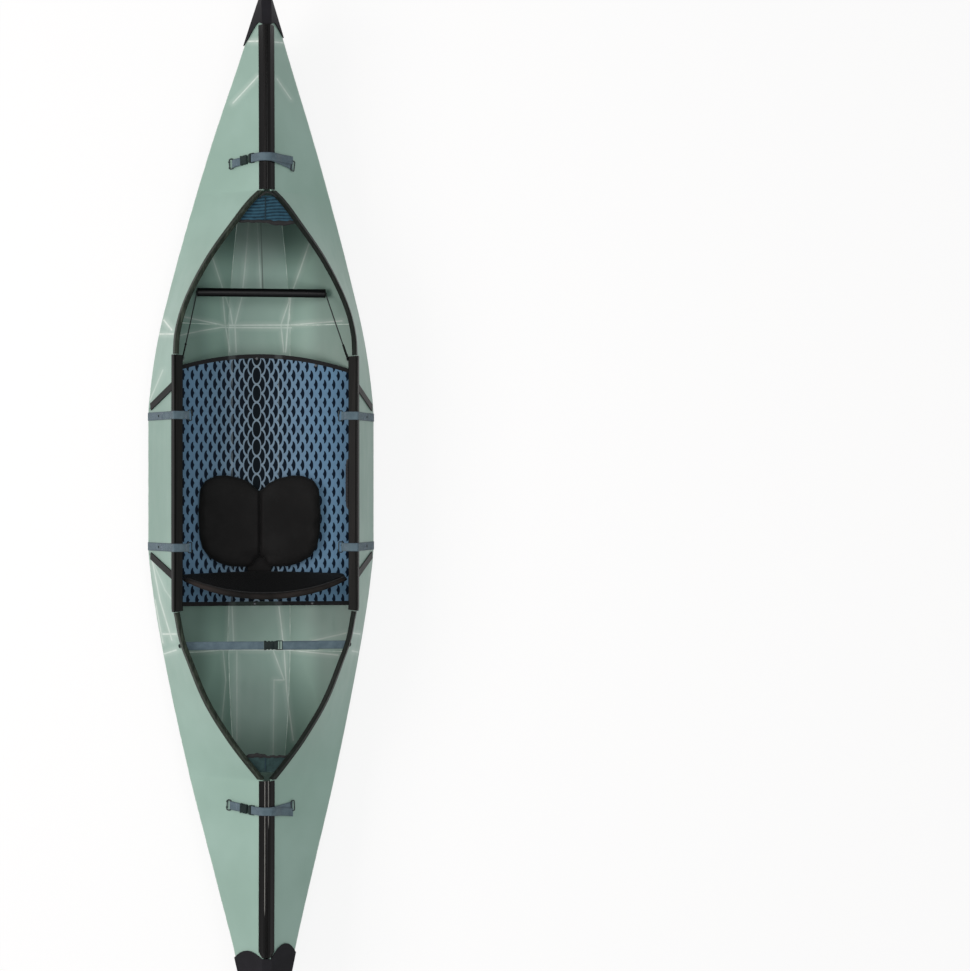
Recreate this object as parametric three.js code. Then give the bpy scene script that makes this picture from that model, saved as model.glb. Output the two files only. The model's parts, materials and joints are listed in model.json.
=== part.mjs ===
// A folding kayak, set up for use. Millimetres, +X towards the bow, +Y to port, +Z up.
// The hull is one folded sheet: its creases are smooth lines along the boat, and each panel
// between two creases is a plate of the sheet's thickness.

import * as THREE from "three";
import { toCreasedNormals } from "three/addons/utils/BufferGeometryUtils.js";

// Driving dimensions
const overall_length = 3200;
const overall_beam = 700;
const ridge_height = 366;
const sheet_thickness = 5;
const rail_front_x = 471;
const rail_rear_x = -305;
const floorboard_front_x = 486;
const floorboard_half_width = 274;
const floorboard_thickness = 4;
const seat_front_x = 109;
const seat_length = 288;
const seat_half_width = 190;
const seat_thickness = 34;
const backrest_half_width = 250;
const backrest_thickness = 13;
const bracket_foot_length = 34;
const footrest_diameter = 27;
const webbing_width = 25;
const webbing_thickness = 1.8;
const channel_half_width = 23;

// Fits
const clearance = 0.4;
const seam = 0.3;
const slit_half_gap = 2.6;
const backrest_gap = 12;
const bracket_gap = 5;
const floorboard_behind_bracket = 56;

// Colours
const hull_green = 0x93ad9f;
const trim_black = 0x1f2123;
const cap_black = 0x26272a;
const webbing_slate = 0x6c7a8e;
const print_navy = 0x12324a;
const foam_black = 0x17181a;
const net_teal = 0x2c4a50;
const cord_black = 0x141516;
const ring_dark = 0x2b2e33;

// Crease lines: each row is a station as a share of half the length, then the value as a share
// of half the beam for widths, or of the ridge height for heights
const beam_shares = [
  [-1, 0.0114], [-0.9688, 0.0971], [-0.9062, 0.1943], [-0.8231, 0.2843], [-0.6737, 0.4571],
  [-0.5225, 0.6314], [-0.3694, 0.7857], [-0.215, 0.92], [-0.1375, 0.9714], [-0.0688, 1],
  [0.18, 1], [0.2519, 0.9714], [0.3294, 0.9157], [0.445, 0.7886], [0.56, 0.6457],
  [0.7113, 0.44], [0.86, 0.2143], [0.9325, 0.1086], [1, 0.0086],
];
const chine_height_shares = [
  [-1, 0.8197], [-0.8762, 0.7322], [-0.7412, 0.612], [-0.5894, 0.5082], [-0.3613, 0.3825],
  [-0.19, 0.3197], [-0.0688, 0.3142], [0.1713, 0.3142], [0.2906, 0.3251], [0.3638, 0.3497],
  [0.5131, 0.4235], [0.7412, 0.5847], [0.8806, 0.7268], [1, 0.8197],
];
const rim_width_shares = [
  [-0.5088, 0.0343], [-0.4719, 0.1726], [-0.4344, 0.3023], [-0.3594, 0.5149], [-0.2844, 0.6583],
  [-0.2462, 0.7229], [-0.2087, 0.757], [-0.1812, 0.7771], [0.2944, 0.7771], [0.3225, 0.773],
  [0.36, 0.7429], [0.3981, 0.684], [0.4731, 0.5057], [0.5481, 0.2614], [0.585, 0.1294],
  [0.605, 0.0343],
];
const rim_height_shares = [
  [-1, 0.8525], [-0.9375, 0.9071], [-0.8375, 0.9426], [-0.5188, 0.9891], [-0.3613, 0.918],
  [-0.285, 0.8907], [-0.1812, 0.8689], [0.2944, 0.8689], [0.3994, 0.9044], [0.475, 0.9344],
  [0.5513, 0.9672], [0.61, 1], [0.75, 0.9781], [0.92, 0.9426], [0.9688, 0.8962], [1, 0.847],
];
const keel_width_shares = [
  [-1, 0.0043], [-0.9375, 0.0229], [-0.8438, 0.0629], [-0.7188, 0.1314], [-0.5625, 0.2057],
  [-0.375, 0.2686], [-0.2781, 0.28], [0.3638, 0.28], [0.4688, 0.2514], [0.625, 0.1771],
  [0.7812, 0.0914], [0.8875, 0.04], [0.95, 0.0171], [1, 0.0029],
];
const keel_height_shares = [
  [-1, 0.7787], [-0.975, 0.6148], [-0.9375, 0.4372], [-0.8875, 0.2596], [-0.8125, 0.1148],
  [-0.6875, 0.0219], [-0.5625, 0], [0.5625, 0], [0.6875, 0.0219], [0.8125, 0.1148],
  [0.8875, 0.2596], [0.9375, 0.4372], [0.975, 0.6148], [1, 0.7787],
];
const front_crease_share = 0.3638;
const rear_crease_share = -0.2781;
const hull_end_share = 0.93;
const front_slit_shares = { chine: 0.194, rim: 0.241 };
const rear_slit_shares = { chine: -0.083, rim: -0.1275 };
const front_strap_share = 0.1805;
const rear_strap_share = -0.07;
const bow_strap_share = 0.6675;
const stern_strap_share = -0.567;
const cockpit_strap_share = -0.257;

const half_length = overall_length / 2;
const half_beam = overall_beam / 2;
const backrest_bottom_x = seat_front_x - seat_length - backrest_gap;
const bracket_front_x = backrest_bottom_x - backrest_thickness - bracket_gap;
const bracket_rear_x = bracket_front_x - bracket_foot_length;
const floorboard_rear_x = bracket_rear_x - floorboard_behind_bracket;
const along = (share) => share * half_length;
const point = (x, y, z) => new THREE.Vector3(x, y, z);

// A smooth value between the rows of a share table, without overshoot
function smooth(rows, share) {
  const t = Math.min(Math.max(share, rows[0][0]), rows[rows.length - 1][0]);
  let i = 0;
  while (i < rows.length - 2 && t > rows[i + 1][0]) i += 1;
  const slope_of = (k) => (rows[k + 1][1] - rows[k][1]) / (rows[k + 1][0] - rows[k][0]);
  const tangent = (k) => {
    if (k <= 0) return slope_of(0);
    if (k >= rows.length - 1) return slope_of(rows.length - 2);
    const before = slope_of(k - 1);
    const after = slope_of(k);
    return before * after <= 0 ? 0 : (2 * before * after) / (before + after);
  };
  const width = rows[i + 1][0] - rows[i][0];
  const u = (t - rows[i][0]) / width;
  const a = 2 * u ** 3 - 3 * u ** 2 + 1;
  const b = u ** 3 - 2 * u ** 2 + u;
  const c = 3 * u ** 2 - 2 * u ** 3;
  const d = u ** 3 - u ** 2;
  return a * rows[i][1] + b * width * tangent(i) + c * rows[i + 1][1] + d * width * tangent(i + 1);
}

const beam_at = (x) => half_beam * smooth(beam_shares, x / half_length);
const chine_z_at = (x) => ridge_height * smooth(chine_height_shares, x / half_length);
const rim_z_at = (x) => ridge_height * smooth(rim_height_shares, x / half_length);
const rim_y_at = (x) => {
  const table = half_beam * smooth(rim_width_shares, x / half_length);
  return Math.abs(x) > along(0.8) ? Math.min(table, 0.55 * beam_at(x)) : table;
};
const keel_y_at = (x) => half_beam * smooth(keel_width_shares, x / half_length);
const keel_z_at = (x) => ridge_height * smooth(keel_height_shares, x / half_length);

const keel = (x, side) => point(x, side * keel_y_at(x), keel_z_at(x));
const chine = (x, side) => point(x, side * beam_at(x), chine_z_at(x));
const rim = (x, side) => point(x, side * rim_y_at(x), rim_z_at(x));

// The outward normal of the panel between two creases
function outward(lower, upper, x, side) {
  const step = 2;
  const middle = (at) => lower(at).add(upper(at)).multiplyScalar(0.5);
  const ahead = middle(x + step).sub(middle(x - step));
  const across = upper(x).sub(lower(x));
  return ahead.cross(across).normalize().multiplyScalar(-side);
}

const keel_normal = (x) => outward((at) => keel(at, -1), (at) => keel(at, 1), x, 1);
const bilge_normal = (x, side) => outward((at) => keel(at, side), (at) => chine(at, side), x, side);
const side_normal = (x, side) => outward((at) => chine(at, side), (at) => rim(at, side), x, side);

// The inner corner of the sheet at a crease, where two offset faces meet
function mitred(outer, first, second) {
  const share = sheet_thickness / (1 + first.dot(second));
  return outer.clone().sub(first.clone().add(second).multiplyScalar(share));
}

const keel_inner = (x, side) => mitred(keel(x, side), keel_normal(x), bilge_normal(x, side));
const chine_inner = (x, side) => mitred(chine(x, side), bilge_normal(x, side), side_normal(x, side));
const rim_inner = (x, side) => {
  return rim(x, side).sub(side_normal(x, side).multiplyScalar(sheet_thickness));
};

// A closed body through rings of points. The section gives the ring's own flat shape for the
// two end faces; without one, an end is a fan about the ring's middle
function loft(rings, section) {
  const corners = [];
  const count = rings[0].length;
  const add = (a, b, c) => corners.push(...a.toArray(), ...b.toArray(), ...c.toArray());
  for (let i = 0; i < rings.length - 1; i += 1) {
    for (let j = 0; j < count; j += 1) {
      const k = (j + 1) % count;
      add(rings[i][j], rings[i + 1][j], rings[i + 1][k]);
      add(rings[i][j], rings[i + 1][k], rings[i][k]);
    }
  }
  const first = rings[0];
  const last = rings[rings.length - 1];
  if (!section) {
    const middle = (ring) => ring.reduce((sum, p) => sum.add(p), point(0, 0, 0)).divideScalar(count);
    const hubs = [middle(first), middle(last)];
    for (let j = 0; j < count; j += 1) {
      const k = (j + 1) % count;
      add(hubs[0], first[j], first[k]);
      add(hubs[1], last[k], last[j]);
    }
    return closed(corners);
  }
  const flat = section.map(([a, b]) => new THREE.Vector2(a, b));
  const turn = Math.sign(THREE.ShapeUtils.area(flat));
  for (const [a, b, c] of THREE.ShapeUtils.triangulateShape(flat, [])) {
    const own = Math.sign(THREE.ShapeUtils.area([flat[a], flat[b], flat[c]]));
    const [p, q, r] = own === turn ? [a, b, c] : [c, b, a];
    add(first[p], first[q], first[r]);
    add(last[r], last[q], last[p]);
  }
  return closed(corners);
}

// Turns the faces outwards and shades them with crisp edges
function closed(corners) {
  let volume = 0;
  for (let i = 0; i < corners.length; i += 9) {
    const [ax, ay, az, bx, by, bz, cx, cy, cz] = corners.slice(i, i + 9);
    volume += ax * (by * cz - bz * cy) + ay * (bz * cx - bx * cz) + az * (bx * cy - by * cx);
  }
  if (volume < 0) {
    for (let i = 0; i < corners.length; i += 9) {
      const kept = corners.slice(i + 3, i + 6);
      for (let j = 0; j < 3; j += 1) {
        corners[i + 3 + j] = corners[i + 6 + j];
        corners[i + 6 + j] = kept[j];
      }
    }
  }
  const geometry = new THREE.BufferGeometry();
  geometry.setAttribute("position", new THREE.Float32BufferAttribute(corners, 3));
  return toCreasedNormals(geometry, Math.PI / 6);
}

// A round bar along a curve; a stop is [share along the curve, radius there]
function round_bar(line, stops, sides) {
  const rings = stops.map(([share, radius]) => {
    const ahead = line.getTangentAt(share);
    const beside = point(0, 1, 0).cross(ahead).normalize();
    const above = ahead.clone().cross(beside);
    return Array.from({ length: sides }, (_, k) => {
      const angle = (2 * Math.PI * k) / sides;
      return line
        .getPointAt(share)
        .add(beside.clone().multiplyScalar(radius * Math.cos(angle)))
        .add(above.clone().multiplyScalar(radius * Math.sin(angle)));
    });
  });
  return loft(rings);
}

const kayak = new THREE.Group();
kayak.name = "folding_kayak";

function piece(name, geometry, color, roughness = 0.6, metalness = 0) {
  const material = new THREE.MeshStandardMaterial({ color, roughness, metalness });
  const mesh = new THREE.Mesh(geometry, material);
  mesh.name = name;
  kayak.add(mesh);
  return mesh;
}

const spaced = (from, to, count) => {
  return Array.from({ length: count + 1 }, (_, i) => from + ((to - from) * i) / count);
};
const side_name = (side) => (side > 0 ? "port" : "starboard");

// Hull panels
function plate(lower, lower_inner, upper, upper_inner, stations) {
  const rings = stations.map(([low_x, high_x]) => {
    const a = lower(low_x);
    const b = upper(high_x);
    const pull = b.clone().sub(a).normalize().multiplyScalar(seam);
    const a_inner = lower_inner(low_x).add(pull);
    const b_inner = upper_inner(high_x).sub(pull);
    return [a.add(pull), b.sub(pull), b_inner, a_inner];
  });
  return loft(rings, [[0, 0], [1, 0], [1, 1], [0, 1]]);
}

const front_crease_x = along(front_crease_share);
const rear_crease_x = along(rear_crease_share);
const hull_end_x = along(hull_end_share);
const slits = {
  front: { chine: along(front_slit_shares.chine), rim: along(front_slit_shares.rim) },
  rear: { chine: along(rear_slit_shares.chine), rim: along(rear_slit_shares.rim) },
};

const keel_stations = spaced(-hull_end_x, hull_end_x, 110).map((x) => [x, x]);
piece(
  "keel_strip",
  plate(
    (x) => keel(x, -1),
    (x) => keel_inner(x, -1),
    (x) => keel(x, 1),
    (x) => keel_inner(x, 1),
    keel_stations,
  ),
  hull_green,
);

const bilge_spans = {
  bow: [front_crease_x + seam, hull_end_x, 40],
  middle: [rear_crease_x + seam, front_crease_x - seam, 36],
  stern: [-hull_end_x, rear_crease_x - seam, 44],
};
for (const side of [1, -1]) {
  for (const [zone, [from, to, count]] of Object.entries(bilge_spans)) {
    const body = plate(
      (x) => keel(x, side),
      (x) => keel_inner(x, side),
      (x) => chine(x, side),
      (x) => chine_inner(x, side),
      spaced(from, to, count).map((x) => [x, x]),
    );
    piece(`${zone}_bilge_${side_name(side)}`, body, hull_green);
  }
}

// Side panels: the slits cut them at a slant, so the two edges start at their own stations
const slant_run_share = 0.125;
function slanted(slit, end_x, count) {
  const way = Math.sign(end_x);
  const start = { chine: slit.chine + way * slit_half_gap, rim: slit.rim + way * slit_half_gap };
  const apex = way > 0 ? rim_width_shares[rim_width_shares.length - 1] : rim_width_shares[0];
  const stations = [...spaced(start.rim, end_x, count), along(apex[0])];
  return stations.sort((a, b) => way * (a - b)).map((x) => {
    const left = Math.max(0, 1 - Math.abs(x - start.rim) / along(slant_run_share));
    return [x + (start.chine - start.rim) * left, x];
  });
}
function flap_stations(count) {
  const low = spaced(slits.rear.chine + slit_half_gap, slits.front.chine - slit_half_gap, count);
  const high = spaced(slits.rear.rim + slit_half_gap, slits.front.rim - slit_half_gap, count);
  return low.map((x, i) => [x, high[i]]);
}
for (const side of [1, -1]) {
  const side_plate = (stations) => plate(
    (x) => chine(x, side),
    (x) => chine_inner(x, side),
    (x) => rim(x, side),
    (x) => rim_inner(x, side),
    stations,
  );
  piece(`bow_deck_${side_name(side)}`, side_plate(slanted(slits.front, hull_end_x, 60)), hull_green);
  piece(`stern_deck_${side_name(side)}`, side_plate(slanted(slits.rear, -hull_end_x, 48)), hull_green);
  piece(`side_flap_${side_name(side)}`, side_plate(flap_stations(12)), hull_green);
}

// Trims that run along the rim of the side panels. A section point is [out, down]: out of the
// panel's face, and down the panel from the rim
function rim_point(x, side, out, down) {
  const edge = rim(x, side);
  const slope = chine(x, side).sub(edge).normalize();
  return edge.add(side_normal(x, side).multiplyScalar(out)).add(slope.multiplyScalar(down));
}
function rim_trim(side, stations, section) {
  const rings = stations.map((x) => {
    return section.map(([out, down]) => rim_point(x, side, out, down));
  });
  return loft(rings, section);
}

const grip = 0.9;
const grip_in = -sheet_thickness - grip;
const rail_top = -10;
const rail_out = 10;
const rail_in = -20;
const rail_section = [
  [rail_in, -7], [rail_in + 2.5, rail_top], [3.5, rail_top], [3.5, -5.5], [6, -5.5], [6, rail_top],
  [rail_out - 1.5, rail_top], [rail_out, rail_top + 2], [rail_out, 12], [grip, 12], [grip, -grip],
  [grip_in, -grip], [grip_in, 12], [-10.5, 12], [-11.5, 4], [rail_in, 2],
];
const coaming_section = [
  [-9.5, -2], [-7.5, -4], [2.5, -4], [4.5, -2], [4.5, 15], [grip, 15], [grip, -grip],
  [grip_in, -grip], [grip_in, 15], [-9.5, 15],
];
const coaming_apex_gap = 3;
const coaming_front_x = along(rim_width_shares[rim_width_shares.length - 1][0]) - coaming_apex_gap;
const coaming_rear_x = along(rim_width_shares[0][0]) + coaming_apex_gap;
const rail_gap = 3;
const rail_bend_x = along(-0.1812);
const rail_stations = [
  ...spaced(rail_rear_x, rail_bend_x, 3),
  ...spaced(rail_bend_x, rail_front_x, 3).slice(1),
];
const front_stations = spaced(rail_front_x + rail_gap, coaming_front_x, 25);
const rear_stations = spaced(coaming_rear_x, rail_rear_x - rail_gap, 24);
for (const side of [1, -1]) {
  const rail = rim_trim(side, rail_stations, rail_section);
  piece(`side_rail_${side_name(side)}`, rail, trim_black, 0.45);
  const front = rim_trim(side, front_stations, coaming_section);
  piece(`front_coaming_${side_name(side)}`, front, trim_black, 0.45);
  const rear = rim_trim(side, rear_stations, coaming_section);
  piece(`rear_coaming_${side_name(side)}`, rear, trim_black, 0.45);
}

// Slit trims: an H section whose web stands in the slit
const slit_section = [
  [-12, 1.5], [-11, 4], [11, 4], [12, 1.5], [0.8, 1.5], [0.8, -6.7], [7, -6.7], [7, -8.7],
  [-7, -8.7], [-7, -6.7], [-0.8, -6.7], [-0.8, 1.5],
];
const slit_start_share = 0.11;
const slit_end_share = 0.9;
function slit_trim(slit, side) {
  const low = chine(slit.chine, side);
  const high = rim(slit.rim, side);
  const line = high.clone().sub(low);
  const way = line.clone().normalize();
  const chine_run = chine(slit.chine + 2, side).sub(chine(slit.chine - 2, side)).normalize();
  const rim_run = rim(slit.rim + 2, side).sub(rim(slit.rim - 2, side)).normalize();
  const rings = [slit_start_share, slit_end_share].map((share) => {
    const run = chine_run.clone().lerp(rim_run, share);
    const normal = run.cross(way).normalize();
    if (normal.y * side < 0) normal.negate();
    const wide = way.clone().cross(normal).normalize();
    return slit_section.map(([w, n]) => {
      const base = low.clone().add(line.clone().multiplyScalar(share));
      return base.add(wide.clone().multiplyScalar(w)).add(normal.clone().multiplyScalar(n));
    });
  });
  return loft(rings, slit_section);
}
for (const side of [1, -1]) {
  piece(`front_slit_trim_${side_name(side)}`, slit_trim(slits.front, side), trim_black, 0.45);
  piece(`rear_slit_trim_${side_name(side)}`, slit_trim(slits.rear, side), trim_black, 0.45);
}

// Hull cross-section as a closed ring of [y, z], set out from the sheet's face
function hull_ring(x, offset) {
  const y = [keel_y_at(x), beam_at(x), rim_y_at(x)];
  const z = [keel_z_at(x), chine_z_at(x), rim_z_at(x)];
  const ring = [
    [-y[0], z[0]], [y[0], z[0]], [y[1], z[1]], [y[2], z[2]], [-y[2], z[2]], [-y[1], z[1]],
  ].map(([a, b]) => new THREE.Vector2(a, b));
  return ring.map((corner, i) => {
    const before = ring[(i + ring.length - 1) % ring.length];
    const after = ring[(i + 1) % ring.length];
    const left = corner.clone().sub(before).normalize();
    const right = after.clone().sub(corner).normalize();
    const first = new THREE.Vector2(left.y, -left.x);
    const second = new THREE.Vector2(right.y, -right.x);
    const share = offset / Math.max(0.25, 1 + first.dot(second));
    return corner.clone().add(first.add(second).multiplyScalar(share));
  });
}

// End caps: a shell that slides over the end of the folded sheet. A row of the rim list is
// [corner, next corner, share between them, start of the cap as a share of half the length].
// The two sides of a cap start at their own places, with an arch between side and ridge
const cap_wall = 3;
const cap_fit = 1.3;
const cavity_end_share = hull_end_share + 0.004;
function cap_rows(starts) {
  const { bottom, ridge, port, starboard } = starts;
  const rows = [];
  const fill = (a, b, count, from, to, bulge) => {
    for (let k = 0; k < count; k += 1) {
      const f = k / count;
      rows.push([a, b, f, from + (to - from) * f + bulge * Math.sin(Math.PI * f)]);
    }
  };
  fill(0, 1, 2, bottom, bottom, 0);
  fill(1, 2, 4, bottom, port.side, 0);
  fill(2, 3, 8, port.side, ridge, port.arch);
  fill(3, 4, 2, ridge, ridge, 0);
  fill(4, 5, 8, ridge, starboard.side, starboard.arch);
  fill(5, 0, 4, starboard.side, bottom, 0);
  return rows;
}
function cap(way, starts) {
  const rows = cap_rows(starts);
  const ring_at = (share_of_row, offset) => rows.map((row) => {
    const x = way * half_length * share_of_row(row);
    const ring = hull_ring(x, offset);
    const p = ring[row[0]].clone().lerp(ring[row[1]], row[2]);
    return point(x, p.x, p.y);
  });
  const outer_steps = 14;
  const inner_steps = 13;
  const rings = [ring_at(() => 1, 0.6)];
  for (let i = outer_steps - 1; i >= 0; i -= 1) {
    const f = (i + 0.55) / outer_steps;
    const start = i === 0 ? 0 : f;
    rings.push(ring_at((row) => row[3] + (1 - row[3]) * start, cap_fit + cap_wall));
  }
  for (let i = 0; i <= inner_steps; i += 1) {
    const f = i / inner_steps;
    rings.push(ring_at((row) => row[3] + (cavity_end_share - row[3]) * f, cap_fit));
  }
  return loft(rings);
}
const bow_cap_shares = {
  bottom: 0.9,
  ridge: 0.92,
  port: { side: 0.886, arch: 0.018 },
  starboard: { side: 0.903, arch: 0.012 },
};
const stern_cap_shares = {
  bottom: 0.855,
  ridge: 0.848,
  port: { side: 0.853, arch: -0.0145 },
  starboard: { side: 0.8465, arch: -0.023 },
};
piece("bow_end_cap", cap(1, bow_cap_shares), cap_black, 0.7);
piece("stern_end_cap", cap(-1, stern_cap_shares), cap_black, 0.7);

// Deck channels: a low domed saddle over the ridge seam, with a stem between the two sheets.
// The nose is the length over which the end at the cap narrows
const channel_count = 16;
const nose_half_width = 14;
function channel(from, to, nose) {
  const section_at = (x) => {
    const z = rim_z_at(x);
    const half = rim_y_at(x);
    const fall = (z - chine_z_at(x)) / (beam_at(x) - half);
    const left_over = nose > 0 ? Math.min(1, Math.abs(to - x) / nose) : 1;
    const wide = nose_half_width + (channel_half_width - nose_half_width) * left_over;
    const base = z + 0.8 + 0.7 * fall + 1.2 * Math.max(0, fall - 1.2);
    const skirt = base - (wide - half) * fall;
    const right = [
      [6, z - 15], [6, base], [half, base], [wide, skirt], [wide + 1, skirt + 3],
      [0.78 * wide, base + 3.4 - 0.5 * (wide - half) * fall], [0.46 * wide, base + 6],
      [3.4, base + 8], [1.2, base + 5.8],
    ];
    const left = right.map(([y, h]) => [-y, h]).reverse();
    return [...right, ...left];
  };
  const nose_x = to - Math.sign(to) * nose;
  const stations = spaced(from, nose_x, channel_count);
  if (nose > 0) stations.push(to);
  const rings = stations.map((x) => section_at(x).map(([y, z]) => point(x, y, z)));
  return loft(rings, section_at((from + to) / 2));
}
const bow_channel_from = along(rim_width_shares[rim_width_shares.length - 1][0]) + 2;
const stern_channel_from = along(rim_width_shares[0][0]) - 2;
const channel_end_shares = { bow: 0.9192, stern: -0.8453 };
const stern_nose = 17;
const bow_channel = channel(bow_channel_from, along(channel_end_shares.bow), 0);
const stern_channel = channel(stern_channel_from, along(channel_end_shares.stern), stern_nose);
piece("bow_deck_channel", bow_channel, trim_black, 0.3);
piece("stern_deck_channel", stern_channel, trim_black, 0.3);

// Floorboard: it rests on the bilge panels, at the first place where its edge meets them
const inner_bilge_z = (x, y) => {
  const low = keel_inner(x, 1);
  const high = chine_inner(x, 1);
  return low.z + ((high.z - low.z) * (y - low.y)) / (high.y - low.y);
};
const board_front_bow = 44;
const board_corner_x = floorboard_front_x - board_front_bow;
const binding_width = 13;
const board_rests = [floorboard_rear_x, 0, board_corner_x].map((x) => {
  return inner_bilge_z(x, floorboard_half_width);
});
const floor_bottom = Math.max(...board_rests) + clearance;
const floor_top = floor_bottom + floorboard_thickness;
const front_edge_x = (y, inset) => {
  const t = y / floorboard_half_width;
  return floorboard_front_x - inset - board_front_bow * t * t;
};
function board_strip(rear_of, front_of, bottom, top) {
  const rings = spaced(-1, 1, 24).map((t) => {
    const y = t * floorboard_half_width;
    const rear = rear_of(y);
    const front = front_of(y);
    return [point(rear, y, bottom), point(front, y, bottom), point(front, y, top), point(rear, y, top)];
  });
  return loft(rings, [[0, 0], [1, 0], [1, 1], [0, 1]]);
}
const board = board_strip(
  () => floorboard_rear_x + binding_width,
  (y) => front_edge_x(y, binding_width),
  floor_bottom,
  floor_top,
);
piece("floorboard", board, print_navy, 0.5);
const front_binding = board_strip(
  (y) => front_edge_x(y, binding_width - seam),
  (y) => front_edge_x(y, 0),
  floor_bottom,
  floor_top + 1.5,
);
piece("floorboard_front_binding", front_binding, trim_black, 0.5);
const rear_binding = board_strip(
  () => floorboard_rear_x,
  () => floorboard_rear_x + binding_width - seam,
  floor_bottom,
  floor_top + 1.5,
);
piece("floorboard_rear_binding", rear_binding, trim_black, 0.5);

// Seat pad: two crowned lobes with drawn-in sides, joined by a seam. The outline's port half, from
// the front notch to the rear one, is in shares of the pad's half length and half width
const seat_profile_shares = [
  [7, 0], [1.5, 0.16], [0, 0.36], [1.5, 0.58], [8, 0.8], [20, 0.92], [42, 1],
];
const seat_edge_shares = [
  [0.674, 0], [0.847, 0.158], [0.944, 0.325], [0.993, 0.551], [0.972, 0.718], [0.861, 0.89],
  [0.68, 0.974], [0.194, 1], [-0.25, 0.987], [-0.549, 0.942], [-0.757, 0.832], [-0.889, 0.665],
  [-0.965, 0.492], [-0.986, 0.24], [-0.95, 0.12], [-0.77, 0],
];
const seat_shift_to_port = 6;
function seat_outline(inset) {
  const half_x = seat_length / 2 - inset;
  const half_y = seat_half_width - inset;
  const port = seat_edge_shares.map(([a, b]) => [a * half_x, b * half_y]);
  const starboard = port.slice(1, -1).map(([x, y]) => [x, -y]).reverse();
  return [...port, ...starboard];
}
const seat_middle_x = seat_front_x - seat_length / 2;
const seat_bottom = floor_top + clearance;
const seat_seam_half = 16;
const seat_seam_depth_share = 0.42;
const seat_rings = seat_profile_shares.map(([inset, share]) => {
  return seat_outline(inset).map(([x, y]) => {
    const near = Math.max(0, 1 - Math.abs(y) / seat_seam_half);
    const dip = 1 - seat_seam_depth_share * near * share;
    const up = seat_thickness * share * dip;
    return point(seat_middle_x + x, seat_shift_to_port + y, seat_bottom + up);
  });
});
const seat_crown_inset = seat_profile_shares[seat_profile_shares.length - 1][0];
piece("seat_pad", loft(seat_rings, seat_outline(seat_crown_inset)), foam_black, 0.9);

// Backrest: a padded shell, bowed across and leaned back, on a bracket
const backrest_lean = 66;
const backrest_tip_forward = 52;
const backrest_bottom_z = floor_top + 20;
const backrest_top_z = rim_z_at(backrest_bottom_x) + 8;
const tip_bottom_rise = 84;
const tip_top_fall = 28;
const backrest_stations = spaced(-1, 1, 26);
const backrest_rows = 8;
function backrest_surface(s, h) {
  const tip = s * s;
  const low = backrest_bottom_z + tip_bottom_rise * tip ** 1.5;
  const high = backrest_top_z - tip_top_fall * tip ** 2;
  const z = low + (high - low) * h;
  const rise = (z - backrest_bottom_z) / (backrest_top_z - backrest_bottom_z);
  const x = backrest_bottom_x - backrest_lean * rise ** 1.2 + backrest_tip_forward * tip * rise;
  return point(x, s * backrest_half_width, z);
}
const backrest_rings = backrest_stations.map((s) => {
  const edge = 1 - 0.65 * Math.abs(s) ** 8;
  const front = spaced(0, 1, backrest_rows).map((h) => backrest_surface(s, h));
  const back = spaced(1, 0, backrest_rows).map((h) => {
    const round = Math.min(1, 6 * Math.min(h, 1 - h) + 0.55);
    return backrest_surface(s, h).add(point(-backrest_thickness * edge * round, 0, 0));
  });
  return [...front, ...back];
});
const backrest_section = backrest_rings[13].map((p) => [p.x, p.z]);
piece("backrest", loft(backrest_rings, backrest_section), foam_black, 0.85);

const bracket_half = 48;
const bracket_height = 42;
const bracket_foot_thickness = 5;
const bracket_wall = { top: 7, bottom: 9 };
const bracket_profile = [
  [bracket_front_x, seat_bottom], [bracket_front_x, seat_bottom + bracket_height],
  [bracket_front_x - bracket_wall.top, seat_bottom + bracket_height],
  [bracket_front_x - bracket_wall.bottom, seat_bottom + bracket_foot_thickness],
  [bracket_rear_x, seat_bottom + bracket_foot_thickness], [bracket_rear_x, seat_bottom],
];
const bracket_rings = [-bracket_half, bracket_half].map((y) => {
  return bracket_profile.map(([x, z]) => point(x, y, z));
});
piece("backrest_bracket", loft(bracket_rings, bracket_profile), trim_black, 0.5);

// Footrest: a bar on two cords that hang from perforated adjusters under the rails
const footrest_x = along(0.4231);
const footrest_half_length = 0.5657 * half_beam;
const footrest_z = keel_z_at(footrest_x) + 0.29 * ridge_height;
const bar = new THREE.CylinderGeometry(
  footrest_diameter / 2,
  footrest_diameter / 2,
  2 * footrest_half_length,
  28,
);
const footrest_bar = piece("footrest_bar", bar, cord_black, 0.45);
footrest_bar.position.set(footrest_x, 0, footrest_z);

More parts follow.
